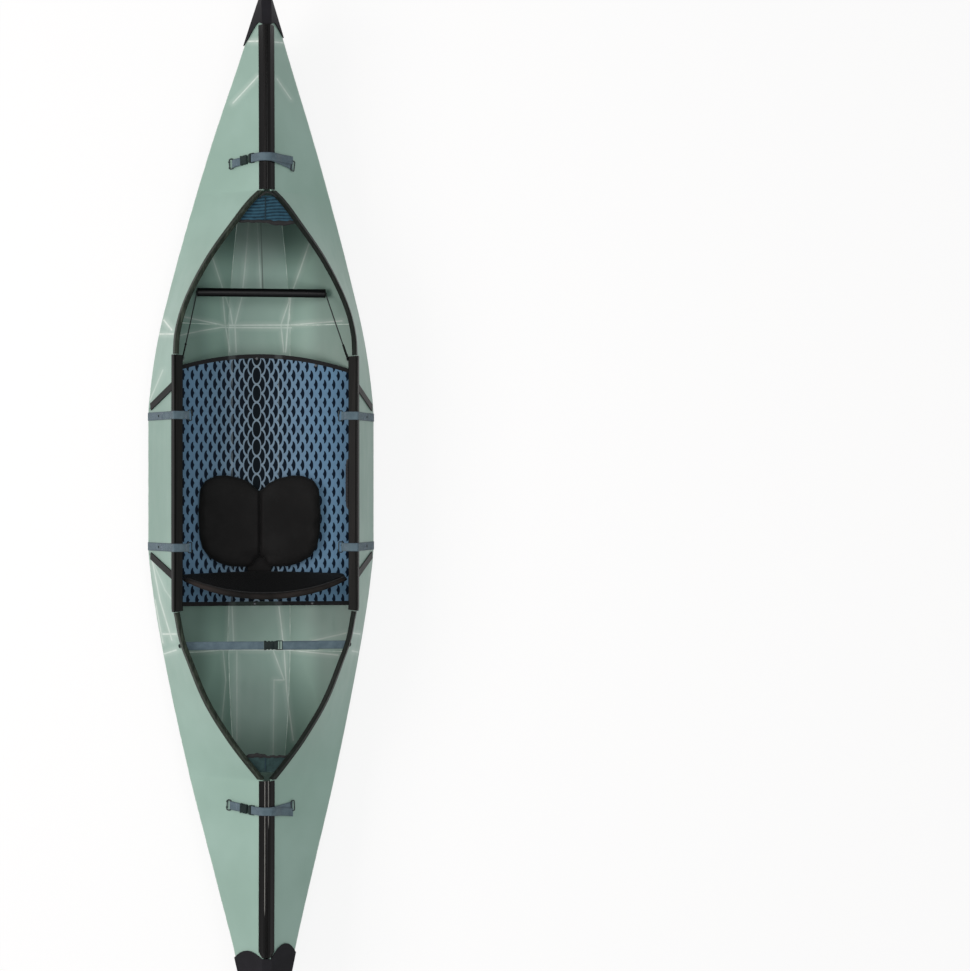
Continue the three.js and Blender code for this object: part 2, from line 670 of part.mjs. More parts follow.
const adjuster_length = 60;
const adjuster_width = 13;
const adjuster_thickness = 3;
const adjuster_inset = { along: 9, across: 19.5, down: 11.5 };
const adjuster_x = rail_front_x - adjuster_inset.along;
const cord_radius = 1.9;
function adjuster_shape() {
  const half = adjuster_width / 2;
  const shape = new THREE.Shape();
  shape.moveTo(0, -half);
  shape.lineTo(adjuster_length, -half);
  shape.lineTo(adjuster_length, half);
  shape.lineTo(0, half);
  shape.closePath();
  for (const share of [0.2, 0.4, 0.6, 0.8]) {
    const hole = new THREE.Path();
    hole.absarc(share * adjuster_length, 0, 3.4, 0, 2 * Math.PI, true);
    shape.holes.push(hole);
  }
  return shape;
}
for (const side of [1, -1]) {
  const top = point(
    adjuster_x,
    side * (rim_y_at(adjuster_x) - adjuster_inset.across),
    rim_z_at(adjuster_x) - adjuster_inset.down,
  );
  const bar_end = point(footrest_x, side * (footrest_half_length + 2.2), footrest_z);
  const way = bar_end.clone().sub(top).normalize();
  const inboard = point(0, -side, 0);
  const flat = way.clone().cross(inboard).normalize();
  const face = flat.clone().cross(way).normalize();
  const placed = new THREE.Matrix4().makeBasis(way, flat.clone().negate(), face);
  placed.setPosition(top);
  const geometry = new THREE.ExtrudeGeometry(adjuster_shape(), {
    depth: adjuster_thickness,
    bevelEnabled: false,
    curveSegments: 8,
  });
  geometry.applyMatrix4(placed);
  piece(`footrest_adjuster_${side_name(side)}`, geometry, trim_black, 0.5);

  const middle = face.clone().multiplyScalar(adjuster_thickness / 2);
  const start = top.clone().add(way.clone().multiplyScalar(adjuster_length + clearance)).add(middle);
  const line = new THREE.LineCurve3(start, bar_end);
  const cord = round_bar(line, [[0, cord_radius], [1, cord_radius]], 10);
  piece(`footrest_cord_${side_name(side)}`, cord, cord_black, 0.8);
}

// Webbing: a flat ribbon along a path of [y, z] points, with its outer face to the right of it.
// Each of its two edges has the path at its own station, so that it lies flat on a tapering hull
function ribbon(path_at, x, width) {
  const edge_at = (station) => {
    const points = path_at(station).map(([y, z]) => new THREE.Vector2(y, z));
    return points.map((p, i) => {
      const before = points[Math.max(0, i - 1)];
      const after = points[Math.min(points.length - 1, i + 1)];
      const first = i > 0 ? p.clone().sub(before).normalize() : after.clone().sub(p).normalize();
      const second = i < points.length - 1 ? after.clone().sub(p).normalize() : first.clone();
      const normal_in = new THREE.Vector2(first.y, -first.x);
      const normal_out = new THREE.Vector2(second.y, -second.x);
      const share = webbing_thickness / Math.max(0.3, 1 + normal_in.dot(normal_out));
      const out = p.clone().add(normal_in.clone().add(normal_out).multiplyScalar(share));
      return [point(station, p.x, p.y), point(station, out.x, out.y)];
    });
  };
  const rear = edge_at(x - width / 2);
  const front = edge_at(x + width / 2);
  const rings = rear.map(([low, high], i) => [low, front[i][0], front[i][1], high]);
  return loft(rings, [[0, 0], [1, 0], [1, 1], [0, 1]]);
}
const flip_path = (path, side) => (side > 0 ? path : path.map(([y, z]) => [-y, z]).reverse());
const rim_yz = (x, out, down) => {
  const p = rim_point(x, 1, out, down);
  return [p.y, p.z];
};

// Side straps: from a rivet under the chine, up the flap, over the rail to a loop with a ring
const strap_lift = 0.8;
const strap_over_rail = 1.4;
const loop_radius = 2.4;
const ring_bar = 2.6;
const ring_reach = 17;
const ring_half = 17;
function side_strap_path(x, middle_x) {
  const edge = chine(x, 1);
  const under = keel(x, 1).sub(edge).normalize();
  const below = bilge_normal(x, 1);
  const beside = side_normal(x, 1);
  const drop = (length) => {
    return edge.clone().add(under.clone().multiplyScalar(length)).add(below.clone().multiplyScalar(strap_lift));
  };
  const corner = edge.clone().add(
    below.clone().add(beside).multiplyScalar((strap_lift + 0.4) / (1 + below.dot(beside))),
  );
  const panel = chine(x, 1).distanceTo(rim(x, 1));
  const strap_out = rail_out + strap_over_rail;
  const strap_top = rail_top - strap_over_rail;
  const loop = strap_loop(middle_x);
  const turns = spaced(0, 1.5, 6).map((t) => {
    const angle = Math.PI * (0.5 + t);
    return [loop[0] + loop_radius * Math.cos(angle), loop[1] + loop_radius * Math.sin(angle)];
  });
  return [
    [drop(30).y, drop(30).z], [corner.y, corner.z],
    rim_yz(x, strap_lift, panel * 0.7), rim_yz(x, strap_lift, 34), rim_yz(x, strap_out, 15),
    rim_yz(x, strap_out, rail_top + 1), rim_yz(x, rail_out, strap_top),
    rim_yz(x, rail_in + 2.5, strap_top), ...turns.slice(0, -1),
  ];
}
function strap_loop(x) {
  const p = rim_point(x, 1, -38, -6);
  return [p.y, p.z - loop_radius];
}
function ring_frame() {
  const outer = new THREE.Shape();
  outer.moveTo(-ring_half, 0);
  outer.lineTo(ring_half, 0);
  outer.lineTo(ring_half, -ring_reach);
  outer.lineTo(-ring_half, -ring_reach);
  outer.closePath();
  const hole = new THREE.Path();
  hole.moveTo(-ring_half + ring_bar, -ring_bar);
  hole.lineTo(-ring_half + ring_bar, -ring_reach + ring_bar);
  hole.lineTo(ring_half - ring_bar, -ring_reach + ring_bar);
  hole.lineTo(ring_half - ring_bar, -ring_bar);
  hole.closePath();
  outer.holes.push(hole);
  const frame = new THREE.ExtrudeGeometry(outer, { depth: ring_bar, bevelEnabled: false });
  frame.translate(0, ring_bar / 2, -ring_bar / 2);
  return frame;
}
const ring_tilt = 0.7;
for (const [zone, share] of [["front", front_strap_share], ["rear", rear_strap_share]]) {
  for (const side of [1, -1]) {
    const x = along(share);
    const path_at = (station) => flip_path(side_strap_path(station, x), side);
    const body = ribbon(path_at, x, webbing_width);
    piece(`${zone}_side_strap_${side_name(side)}`, body, webbing_slate, 0.85);
    const [y, z] = strap_loop(x);
    const ring = piece(`${zone}_strap_ring_${side_name(side)}`, ring_frame(), ring_dark, 0.4, 0.6);
    ring.position.set(x, side * y, z);
    ring.rotation.set(side > 0 ? ring_tilt : Math.PI - ring_tilt, 0, 0);
  }
}

// Deck straps: webbing over the channel, a buckle on the port deck
const buckle_half_width = 15;
const buckle_height = 8;
const buckle_lift = 1.2;
const socket_span = [54.2, 74];
const plug_span = [35, 53.7];
const webbing_top = 11;
const deck_strap_tail = 80;
function deck_point(x, y, lift) {
  const edge = rim(x, 1);
  const slope = chine(x, 1).sub(edge).normalize();
  const down = (y - edge.y) / slope.y;
  const p = edge.add(slope.multiplyScalar(down)).add(side_normal(x, 1).multiplyScalar(lift));
  return [p.y, p.z];
}
function deck_block(x, span, half_width, low, high) {
  const edge = rim(x, 1);
  const slope = chine(x, 1).sub(edge).normalize();
  const normal = side_normal(x, 1);
  const fore = normal.clone().cross(slope).normalize();
  const chamfer = 3;
  const section = [
    [-half_width, low], [half_width, low], [half_width, high - chamfer],
    [half_width - chamfer, high], [-half_width + chamfer, high], [-half_width, high - chamfer],
  ];
  const rings = span.map((y) => {
    const base = edge.clone().add(slope.clone().multiplyScalar((y - edge.y) / slope.y));
    return section.map(([w, n]) => {
      return base.clone().add(fore.clone().multiplyScalar(w)).add(normal.clone().multiplyScalar(n));
    });
  });
  return loft(rings, section);
}
function deck_strap(zone, x, tail) {
  const path_at = (station) => {
    const ridge = rim_z_at(station);
    const start = deck_point(station, plug_span[0] - 1, 4);
    const end = deck_point(station, tail, 1.2);
    const near_end = deck_point(station, tail - 38, 1.2);
    return [
      start, [22, ridge + 3], [11, ridge + webbing_top], [-11, ridge + webbing_top],
      [-27, ridge - 2], [-near_end[0], near_end[1]], [-end[0], end[1]],
    ];
  };
  piece(`${zone}_strap_webbing`, ribbon(path_at, x, webbing_width), webbing_slate, 0.85);
  piece(
    `${zone}_strap_plug`,
    deck_block(x, plug_span, buckle_half_width, buckle_lift, buckle_lift + buckle_height),
    ring_dark,
    0.5,
  );
  piece(
    `${zone}_strap_socket`,
    deck_block(x, socket_span, buckle_half_width, buckle_lift, buckle_lift + buckle_height),
    ring_dark,
    0.5,
  );
}
deck_strap("bow", along(bow_strap_share), deck_strap_tail);
deck_strap("stern", along(stern_strap_share), deck_strap_tail);

// Cockpit strap: two halves from the inner face of the deck, under the coaming, to a buckle
const cockpit_x = along(cockpit_strap_share);
const cockpit_buckle = { plug: [-52, -26], socket: [-25.5, 4] };
const cockpit_anchor_down = 38;
const cockpit_strap_sag = 5;
const cockpit_buckle_z = rim_z_at(cockpit_x) - cockpit_anchor_down + 4;
function cockpit_half(side, end_y) {
  const wall_gap = 1.1;
  const anchor_x = cockpit_x - webbing_width / 2;
  const anchor = rim_point(anchor_x, 1, -sheet_thickness - wall_gap, cockpit_anchor_down);
  const end = [side * end_y, cockpit_buckle_z];
  const path = spaced(0, 1, 8).map((share) => {
    const sag = cockpit_strap_sag * 4 * share * (1 - share);
    return [anchor.y + (end[0] - anchor.y) * share, anchor.z + (end[1] - anchor.z) * share - sag];
  });
  return ribbon(() => flip_path(path, side), cockpit_x, webbing_width);
}
function cockpit_block(span) {
  const section = [[-14, -4], [14, -4], [14, 3], [11, 6], [-11, 6], [-14, 3]];
  const rings = span.map((y) => {
    return section.map(([w, n]) => point(cockpit_x + w, y, cockpit_buckle_z + n));
  });
  return loft(rings, section);
}
piece("cockpit_strap_port", cockpit_half(1, cockpit_buckle.socket[1] + 0.5), webbing_slate, 0.85);
piece("cockpit_strap_starboard", cockpit_half(-1, cockpit_buckle.plug[0] - 0.5), webbing_slate, 0.85);
piece("cockpit_strap_socket", cockpit_block(cockpit_buckle.socket), ring_dark, 0.5);
piece("cockpit_strap_plug", cockpit_block(cockpit_buckle.plug), ring_dark, 0.5);

// Nets: flat diamond mesh in the two points of the cockpit
const net_thickness = 1.4;
const net_drift = 0.011;
function net(base_x, tip_x, pitch, hem, net_inset) {
  const way = Math.sign(tip_x);
  const span = Math.abs(tip_x - base_x);
  const count = 10;
  const half_at = (d) => rim_y_at(base_x + way * d) - net_inset;
  const shape = new THREE.Shape();
  const edge = spaced(0, span, count);
  edge.forEach((d, i) => (i === 0 ? shape.moveTo(d, half_at(d)) : shape.lineTo(d, half_at(d))));
  edge.reverse().forEach((d) => shape.lineTo(d, -half_at(d)));
  shape.closePath();
  const half_hole = pitch * 0.36;
  for (let row = 0; row * pitch < 2 * span; row += 1) {
    const d = hem + half_hole + (row * pitch) / 2;
    for (let column = -20; column <= 20; column += 1) {
      const y = (column + (row % 2) / 2) * pitch + net_drift * d;
      const room = Math.min(half_at(Math.min(span, d + half_hole)), half_at(d)) - Math.abs(y);
      if (d + half_hole < span - 2 && room > half_hole + 2.5) {
        const hole = new THREE.Path();
        hole.moveTo(d + half_hole, y);
        hole.lineTo(d + net_drift * y, y + half_hole);
        hole.lineTo(d - half_hole, y);
        hole.lineTo(d - net_drift * y, y - half_hole);
        hole.closePath();
        shape.holes.push(hole);
      }
    }
  }
  const geometry = new THREE.ExtrudeGeometry(shape, { depth: net_thickness, bevelEnabled: false });
  const low = rim_z_at(base_x) - 12;
  const high = rim_z_at(tip_x) - 12;
  geometry.rotateY(-Math.atan2(high - low, span));
  if (way < 0) geometry.rotateZ(Math.PI);
  geometry.translate(base_x, 0, low);
  return geometry;
}
const front_net_shares = { base: 0.5481, tip: 0.595 };
const rear_net_shares = { base: -0.4663, tip: -0.4944 };
const front_net = net(along(front_net_shares.base), along(front_net_shares.tip), 10, 7, 6);
const rear_net = net(along(rear_net_shares.base), along(rear_net_shares.tip), 9, 6, 5.3);
piece("front_net", front_net, net_teal, 0.9);
piece("rear_net", rear_net, net_teal, 0.9);

// Carry handle: a grip that hangs under the starboard rail from its two round ends
const handle_x = 81;
const handle_half = 76;
const handle_drop = 52;
const handle_radius = 7.5;
const handle_end_radius = 3;
const handle_seat = { out: -16, down: 4.1 };
const handle_y = -handle_seat.out - rim_y_at(handle_x);
const handle_top = rim_point(handle_x, -1, handle_seat.out, handle_seat.down).z;
const handle_line = new THREE.CatmullRomCurve3([
  point(handle_x - handle_half, handle_y, handle_top),
  point(handle_x - handle_half + 5, handle_y, handle_top - handle_drop * 0.6),
  point(handle_x - handle_half + 26, handle_y, handle_top - handle_drop),
  point(handle_x, handle_y, handle_top - handle_drop - 3),
  point(handle_x + handle_half - 26, handle_y, handle_top - handle_drop),
  point(handle_x + handle_half - 5, handle_y, handle_top - handle_drop * 0.6),
  point(handle_x + handle_half, handle_y, handle_top),
]);
const handle_length = handle_line.getLength();
const handle_end_stops = [0, 0.35, 1.2, handle_end_radius, 16, 30].map((reach) => {
  const inside = handle_end_radius - reach;
  const dome = Math.sqrt(Math.max(0.3, handle_end_radius ** 2 - Math.max(0, inside) ** 2));
  const swell = Math.min(1, Math.max(0, (reach - 12) / 18));
  return [reach / handle_length, dome + (handle_radius - handle_end_radius) * swell];
});
const handle_stops = [
  ...handle_end_stops,
  ...spaced(0.2, 0.8, 20).map((share) => [share, handle_radius]),
  ...handle_end_stops.map(([share, radius]) => [1 - share, radius]).reverse(),
];
piece("carry_handle", round_bar(handle_line, handle_stops, 12), cord_black, 0.8);

export default kayak;
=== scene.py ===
import json
import math

import bmesh
import bpy
from mathutils import Matrix, Vector

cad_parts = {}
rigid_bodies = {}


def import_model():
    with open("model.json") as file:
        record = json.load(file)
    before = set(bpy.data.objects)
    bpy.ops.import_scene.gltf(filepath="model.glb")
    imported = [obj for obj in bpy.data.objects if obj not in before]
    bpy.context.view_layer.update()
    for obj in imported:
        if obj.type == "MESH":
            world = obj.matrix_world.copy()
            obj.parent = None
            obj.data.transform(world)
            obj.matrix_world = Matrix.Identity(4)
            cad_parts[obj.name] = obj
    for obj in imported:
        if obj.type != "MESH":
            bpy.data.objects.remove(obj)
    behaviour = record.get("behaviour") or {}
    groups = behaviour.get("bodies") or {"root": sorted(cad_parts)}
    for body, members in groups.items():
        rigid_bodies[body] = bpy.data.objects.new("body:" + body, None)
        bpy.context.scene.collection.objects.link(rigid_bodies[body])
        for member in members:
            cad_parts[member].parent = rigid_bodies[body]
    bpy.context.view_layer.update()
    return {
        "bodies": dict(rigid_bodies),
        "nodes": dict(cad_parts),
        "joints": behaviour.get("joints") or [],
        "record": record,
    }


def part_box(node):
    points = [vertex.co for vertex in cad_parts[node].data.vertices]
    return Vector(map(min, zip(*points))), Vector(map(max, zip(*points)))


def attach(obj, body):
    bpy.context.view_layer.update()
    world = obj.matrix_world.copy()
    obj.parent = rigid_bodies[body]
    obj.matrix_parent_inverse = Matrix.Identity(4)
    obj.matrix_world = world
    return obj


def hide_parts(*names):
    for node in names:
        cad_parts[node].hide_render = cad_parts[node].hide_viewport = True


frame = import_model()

nodes = frame["nodes"]
record = frame["record"]
slot_of = {part["node"]: part["material_slot"] for part in record["subparts"]}
sides = {"port": 1, "starboard": -1}
full_turn = 2 * math.pi
merge_distance = 1e-6

# Camera and lights

image_rows = 971
focal_length_rows = 2526.3
sensor_width = 36
camera_height = 8.0
camera_to_port = 0.508
camera_station = 0.076
camera_lean = math.radians(8.738)


def aim_camera():
    lens = bpy.data.cameras.new("overhead")
    lens.sensor_width = sensor_width
    lens.lens = sensor_width * focal_length_rows / image_rows
    camera = bpy.data.objects.new("overhead", lens)
    bpy.context.scene.collection.objects.link(camera)
    right = Vector((0, -math.cos(camera_lean), math.sin(camera_lean)))
    up = Vector((1, 0, 0))
    turn = Matrix((right, up, right.cross(up))).transposed().to_4x4()
    place = Matrix.Translation((camera_station, camera_to_port, camera_height))
    camera.matrix_world = place @ turn
    bpy.context.scene.camera = camera


def soft_light(name, place, target, size, power, tint=(1, 1, 1)):
    lamp = bpy.data.lights.new(name, "AREA")
    lamp.shape = "RECTANGLE"
    lamp.size, lamp.size_y = size
    lamp.energy = power
    lamp.color = tint
    light = bpy.data.objects.new(name, lamp)
    bpy.context.scene.collection.objects.link(light)
    light.location = place
    aim = Vector(target) - Vector(place)
    light.rotation_euler = aim.to_track_quat("-Z", "Y").to_euler()


# Hull lines: each row is a station as a share of half the length, then a share of half the
# beam for widths, or of the ridge height for heights

half_length = 1.6
half_beam = 0.35
ridge_height = 0.366
sheet_thickness = 0.005
beam_shares = [
    [-1, 0.0114], [-0.9688, 0.0971], [-0.9062, 0.1943], [-0.8231, 0.2843], [-0.6737, 0.4571],
    [-0.5225, 0.6314], [-0.3694, 0.7857], [-0.215, 0.92], [-0.1375, 0.9714], [-0.0688, 1],
    [0.18, 1], [0.2519, 0.9714], [0.3294, 0.9157], [0.445, 0.7886], [0.56, 0.6457],
    [0.7113, 0.44], [0.86, 0.2143], [0.9325, 0.1086], [1, 0.0086],
]
chine_height_shares = [
    [-1, 0.8197], [-0.8762, 0.7322], [-0.7412, 0.612], [-0.5894, 0.5082], [-0.3613, 0.3825],
    [-0.19, 0.3197], [-0.0688, 0.3142], [0.1713, 0.3142], [0.2906, 0.3251], [0.3638, 0.3497],
    [0.5131, 0.4235], [0.7412, 0.5847], [0.8806, 0.7268], [1, 0.8197],
]
rim_width_shares = [
    [-0.5088, 0.0343], [-0.4719, 0.1726], [-0.4344, 0.3023], [-0.3594, 0.5149],
    [-0.2844, 0.6583], [-0.2462, 0.7229], [-0.2087, 0.757], [-0.1812, 0.7771],
    [0.2944, 0.7771], [0.3225, 0.773], [0.36, 0.7429], [0.3981, 0.684], [0.4731, 0.5057],
    [0.5481, 0.2614], [0.585, 0.1294], [0.605, 0.0343],
]
rim_height_shares = [
    [-1, 0.8525], [-0.9375, 0.9071], [-0.8375, 0.9426], [-0.5188, 0.9891], [-0.3613, 0.918],
    [-0.285, 0.8907], [-0.1812, 0.8689], [0.2944, 0.8689], [0.3994, 0.9044], [0.475, 0.9344],
    [0.5513, 0.9672], [0.61, 1], [0.75, 0.9781], [0.92, 0.9426], [0.9688, 0.8962], [1, 0.847],
]
keel_width_shares = [
    [-1, 0.0043], [-0.9375, 0.0229], [-0.8438, 0.0629], [-0.7188, 0.1314], [-0.5625, 0.2057],
    [-0.375, 0.2686], [-0.2781, 0.28], [0.3638, 0.28], [0.4688, 0.2514], [0.625, 0.1771],
    [0.7812, 0.0914], [0.8875, 0.04], [0.95, 0.0171], [1, 0.0029],
]
keel_height_shares = [
    [-1, 0.7787], [-0.975, 0.6148], [-0.9375, 0.4372], [-0.8875, 0.2596], [-0.8125, 0.1148],
    [-0.6875, 0.0219], [-0.5625, 0], [0.5625, 0], [0.6875, 0.0219], [0.8125, 0.1148],
    [0.8875, 0.2596], [0.9375, 0.4372], [0.975, 0.6148], [1, 0.7787],
]
hull_end_share = 0.93
front_crease_x = 0.3638 * half_length
rear_crease_x = -0.2781 * half_length


def smooth(rows, share):
    """A smooth value between the rows of a share table, without overshoot"""
    share = min(max(share, rows[0][0]), rows[-1][0])
    row = 0
    while row < len(rows) - 2 and share > rows[row + 1][0]:
        row += 1

    def slope(k):
        return (rows[k + 1][1] - rows[k][1]) / (rows[k + 1][0] - rows[k][0])

    def tangent(k):
        if k == 0:
            return slope(0)
        if k == len(rows) - 1:
            return slope(len(rows) - 2)
        before, after = slope(k - 1), slope(k)
        return 0 if before * after <= 0 else 2 * before * after / (before + after)

    width = rows[row + 1][0] - rows[row][0]
    u = (share - rows[row][0]) / width
    start = (2 * u**3 - 3 * u**2 + 1) * rows[row][1]
    end = (3 * u**2 - 2 * u**3) * rows[row + 1][1]
    leave = (u**3 - 2 * u**2 + u) * width * tangent(row)
    arrive = (u**3 - u**2) * width * tangent(row + 1)
    return start + leave + end + arrive


def crease(widths, heights):
    """A long fold of the sheet, as a point for each station and side"""

    def edge(x, side):
        share = x / half_length
        y = half_beam * smooth(widths, share)
        return Vector((x, side * y, ridge_height * smooth(heights, share)))

    return edge


keel = crease(keel_width_shares, keel_height_shares)
chine = crease(beam_shares, chine_height_shares)
open_rim = crease(rim_width_shares, rim_height_shares)

end_deck_share = 0.8
end_rim_share = 0.55


def rim(x, side):
    """The upper edge of the side panel, kept well inside the chine toward the ends"""
    edge = open_rim(x, side)
    if abs(x) > end_deck_share * half_length:
        edge.y = side * min(abs(edge.y), end_rim_share * abs(chine(x, side).y))
    return edge


def outward(lower, upper, x, side):
    """The outward direction of the panel between two creases"""
    step = 0.002
    ahead = lower(x + step, side) + upper(x + step, side)
    ahead -= lower(x - step, side) + upper(x - step, side)
    return ahead.cross(upper(x, side) - lower(x, side)).normalized() * -side


def bilge_normal(x, side):
    return outward(keel, chine, x, side)


def side_normal(x, side):
    return outward(chine, rim, x, side)


def down_side(x, side):
    return (chine(x, side) - rim(x, side)).normalized()


def rim_point(x, side, out, down):
    """A point off the side panel: out from its face, and down it from the rim"""
    return rim(x, side) + side_normal(x, side) * out + down_side(x, side) * down


def deck_point(x, y, lift):
    """A point at a lift over the deck, at a distance from the middle"""
    side = 1 if y > 0 else -1
    edge = rim(x, side)
    slope = down_side(x, side)
    return edge + slope * ((y - edge.y) / slope.y) + side_normal(x, side) * lift


# Mesh helpers


def finished(name, form, slot, body="hull", replaces=(), sharp=40, finish=None):
    """Makes the form a piece of the kayak, on its body, in its finish"""
    bmesh.ops.recalc_face_normals(form, faces=form.faces[:])
    mesh = bpy.data.meshes.new(name)
    form.to_mesh(mesh)
    form.free()
    mesh.shade_smooth()
    mesh.set_sharp_from_angle(angle=math.radians(sharp))
    mesh.materials.append(finish or finishes[slot])
    piece = bpy.data.objects.new(name, mesh)
    bpy.context.scene.collection.objects.link(piece)
    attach(piece, body)
    if replaces:
        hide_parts(*replaces)
    return piece


def circle(radius, count, flat=1.0):
    turns = [full_turn * k / count for k in range(count)]
    return [(radius * math.cos(turn), radius * flat * math.sin(turn)) for turn in turns]


def strap_section(width, thickness):
    half, quarter = width / 2, thickness / 4
    edge = half - thickness / 2
    return [
        (-half, -quarter), (-edge, -2 * quarter), (edge, -2 * quarter), (half, -quarter),
        (half, quarter), (edge, 2 * quarter), (-edge, 2 * quarter), (-half, quarter),
    ]


def sweep(form, section, frames, loop=False):
    """Draws a closed section along frames of middle, across and up, with the weave laid on"""
    weave = form.verts.layers.float_vector.get("weave")
    weave = weave or form.verts.layers.float_vector.new("weave")

    def place(verts, frame, length):
        middle, across, up = frame
        for vert, (a, b) in zip(verts, section):
            vert.co = middle + across * a + up * b
            vert[weave] = (length, a, b)

    verts = [form.verts.new() for corner in section]
    place(verts, frames[0], 0)
    first = face = form.faces.new(verts)
    length = 0
    for before, frame in zip(frames, frames[1:]):
        length += (frame[0] - before[0]).length
        grown = bmesh.ops.extrude_face_region(form, geom=[face])["geom"]
        face = next(item for item in grown if isinstance(item, bmesh.types.BMFace))
        place(face.verts, frame, length)
    if loop:
        bmesh.ops.delete(form, geom=[first, face], context="FACES_ONLY")
        bmesh.ops.remove_doubles(form, verts=form.verts[:], dist=merge_distance)
    return form


def frames_along(points, above):
    """Frames for a sweep along points, with a direction that stays above them"""
    frames = []
    for i, middle in enumerate(points):
        ahead = points[min(i + 1, len(points) - 1)] - points[max(i - 1, 0)]
        across = ahead.cross(Vector(above)).normalized()
        frames.append((middle, across, across.cross(ahead).normalized()))
    return frames


def rounded(points, radius, steps=4):
    """A line of points with its corners rounded off"""
    points = [Vector(p) for p in points]
    line = [points[0]]
    for before, corner, after in zip(points, points[1:], points[2:]):
        back, onward = before - corner, after - corner
        reach = min(radius, 0.45 * back.length, 0.45 * onward.length)
        start = corner + back.normalized() * reach
        end = corner + onward.normalized() * reach
        for k in range(steps + 1):
            t = k / steps
            line.append(start * (1 - t) ** 2 + corner * (2 * t * (1 - t)) + end * t**2)
    return line + [points[-1]]


def dense(points, spacing):
    """The same line with points at least that close"""
    line = [points[0]]
    for start, end in zip(points, points[1:]):
        count = max(1, math.ceil((end - start).length / spacing))
        line += [start.lerp(end, k / count) for k in range(1, count + 1)]
    return line


webbing_step = 0.02


def ribbon(form, path_at, x, width, thickness, radius=0.006):
    """Flat webbing whose two edges each follow the path at their own station"""
    edges = [
        dense([Vector((station, *p)) for p in rounded(path_at(station), radius)], webbing_step)
        for station in (x - width / 2, x + width / 2)
    ]
    count = min(len(edge) for edge in edges)
    edges = [edge[:count - 1] + edge[-1:] for edge in edges]
    frames = []
    for i, (rear, front) in enumerate(zip(*edges)):
        k, j = min(i + 1, count - 1), max(i - 1, 0)
        ahead = edges[0][k] + edges[1][k] - edges[0][j] - edges[1][j]
        across = (front - rear).normalized()
        up = ahead.cross(across).normalized()
        frames.append(((rear + front) / 2 + up * thickness / 2, across, up))
    return sweep(form, strap_section(width, thickness), frames)


def turned(form, profile, middle, axis, steps):
    """A form turned from a profile of (radius, height) about an axis"""
    axis = Vector(axis).normalized()
    beside = axis.orthogonal().normalized()
    verts = [form.verts.new(Vector(middle) + beside * r + axis * h) for r, h in profile]
    edges = [form.edges.new(pair) for pair in zip(verts, verts[1:])]
    bmesh.ops.spin(
        form, geom=verts + edges, cent=middle, axis=axis,
        angle=full_turn, steps=steps, use_merge=True,
    )
    bmesh.ops.remove_doubles(form, verts=form.verts[:], dist=merge_distance)
    return form


def moulding(form, outline, low, high, place, round_off=0.0008, segments=2):
    """A block with rounded edges: an outline of (along, across) points, raised from low to high"""
    verts = [form.verts.new((a, b, low)) for a, b in outline]
    face = form.faces.new(verts)
    grown = bmesh.ops.extrude_face_region(form, geom=[face])["geom"]
    tops = [item for item in grown if isinstance(item, bmesh.types.BMVert)]
    for vert in tops:
        vert.co.z = high
    verts += tops
    edges = list({edge for vert in verts for edge in vert.link_edges})
    made = bmesh.ops.bevel(
        form, geom=edges, offset=round_off, offset_type="OFFSET", segments=segments,
        profile=0.5, affect="EDGES", material=-1, clamp_overlap=True,
    )
    verts = list(set(made["verts"]) | {vert for vert in verts if vert.is_valid})
    bmesh.ops.transform(form, matrix=place, verts=verts)
    return form


def axes(middle, along, across, up):
    """The matrix of a piece laid out in its own directions"""
    turn = Matrix((along, across, up)).transposed().to_4x4()
    return Matrix.Translation(middle) @ turn


def wire_ring(form, middle, long_way, short_way, half_long, half_short, corner, radius):
    """A rectangle of round wire with rounded corners"""
    frames = []
    beyond = long_way.cross(short_way)
    for way, (a, b) in enumerate([(1, 1), (-1, 1), (-1, -1), (1, -1)]):
        centre = long_way * (a * (half_long - corner)) + short_way * (b * (half_short - corner))
        for k in range(6):
            turn = math.pi / 2 * (way + k / 5)
            spoke = long_way * math.cos(turn) + short_way * math.sin(turn)
            frames.append((middle + centre + spoke * corner, spoke, beyond))
    return sweep(form, circle(radius, 8), frames + frames[:1], loop=True)


stitch_pitch = 0.0032
thread_thickness = 0.0005


def stitch_row(form, start, end, above):
    """A row of short thread stitches, each a few faces"""
    ahead = end - start
    count = max(1, round(ahead.length / stitch_pitch))
    way = ahead.normalized()
    above = Vector(above).normalized()
    beside = above.cross(way).normalized()
    for k in range(count):
        middle = start + ahead * ((k + 0.5) / count)
        size = Matrix.Diagonal((stitch_pitch * 0.36, thread_thickness, thread_thickness * 0.8, 1))
        place = axes(middle, way, beside, above) @ size
        bmesh.ops.create_uvsphere(form, u_segments=6, v_segments=4, radius=1, matrix=place)


def crossed_box(form, middle, along, across, up, half_long, half_wide):
    """The box-and-cross stitching that holds a fold of webbing"""
    corners = [(-1, -1), (1, -1), (1, 1), (-1, 1)]
    spots = [middle + along * (a * half_long) + across * (b * half_wide) for a, b in corners]
    for start, end in zip(spots, spots[1:] + spots[:1]):
        stitch_row(form, start, end, up)
    stitch_row(form, spots[0], spots[2], up)
    stitch_row(form, spots[1], spots[3], up)


air_pressure = 4
air_steps = 20


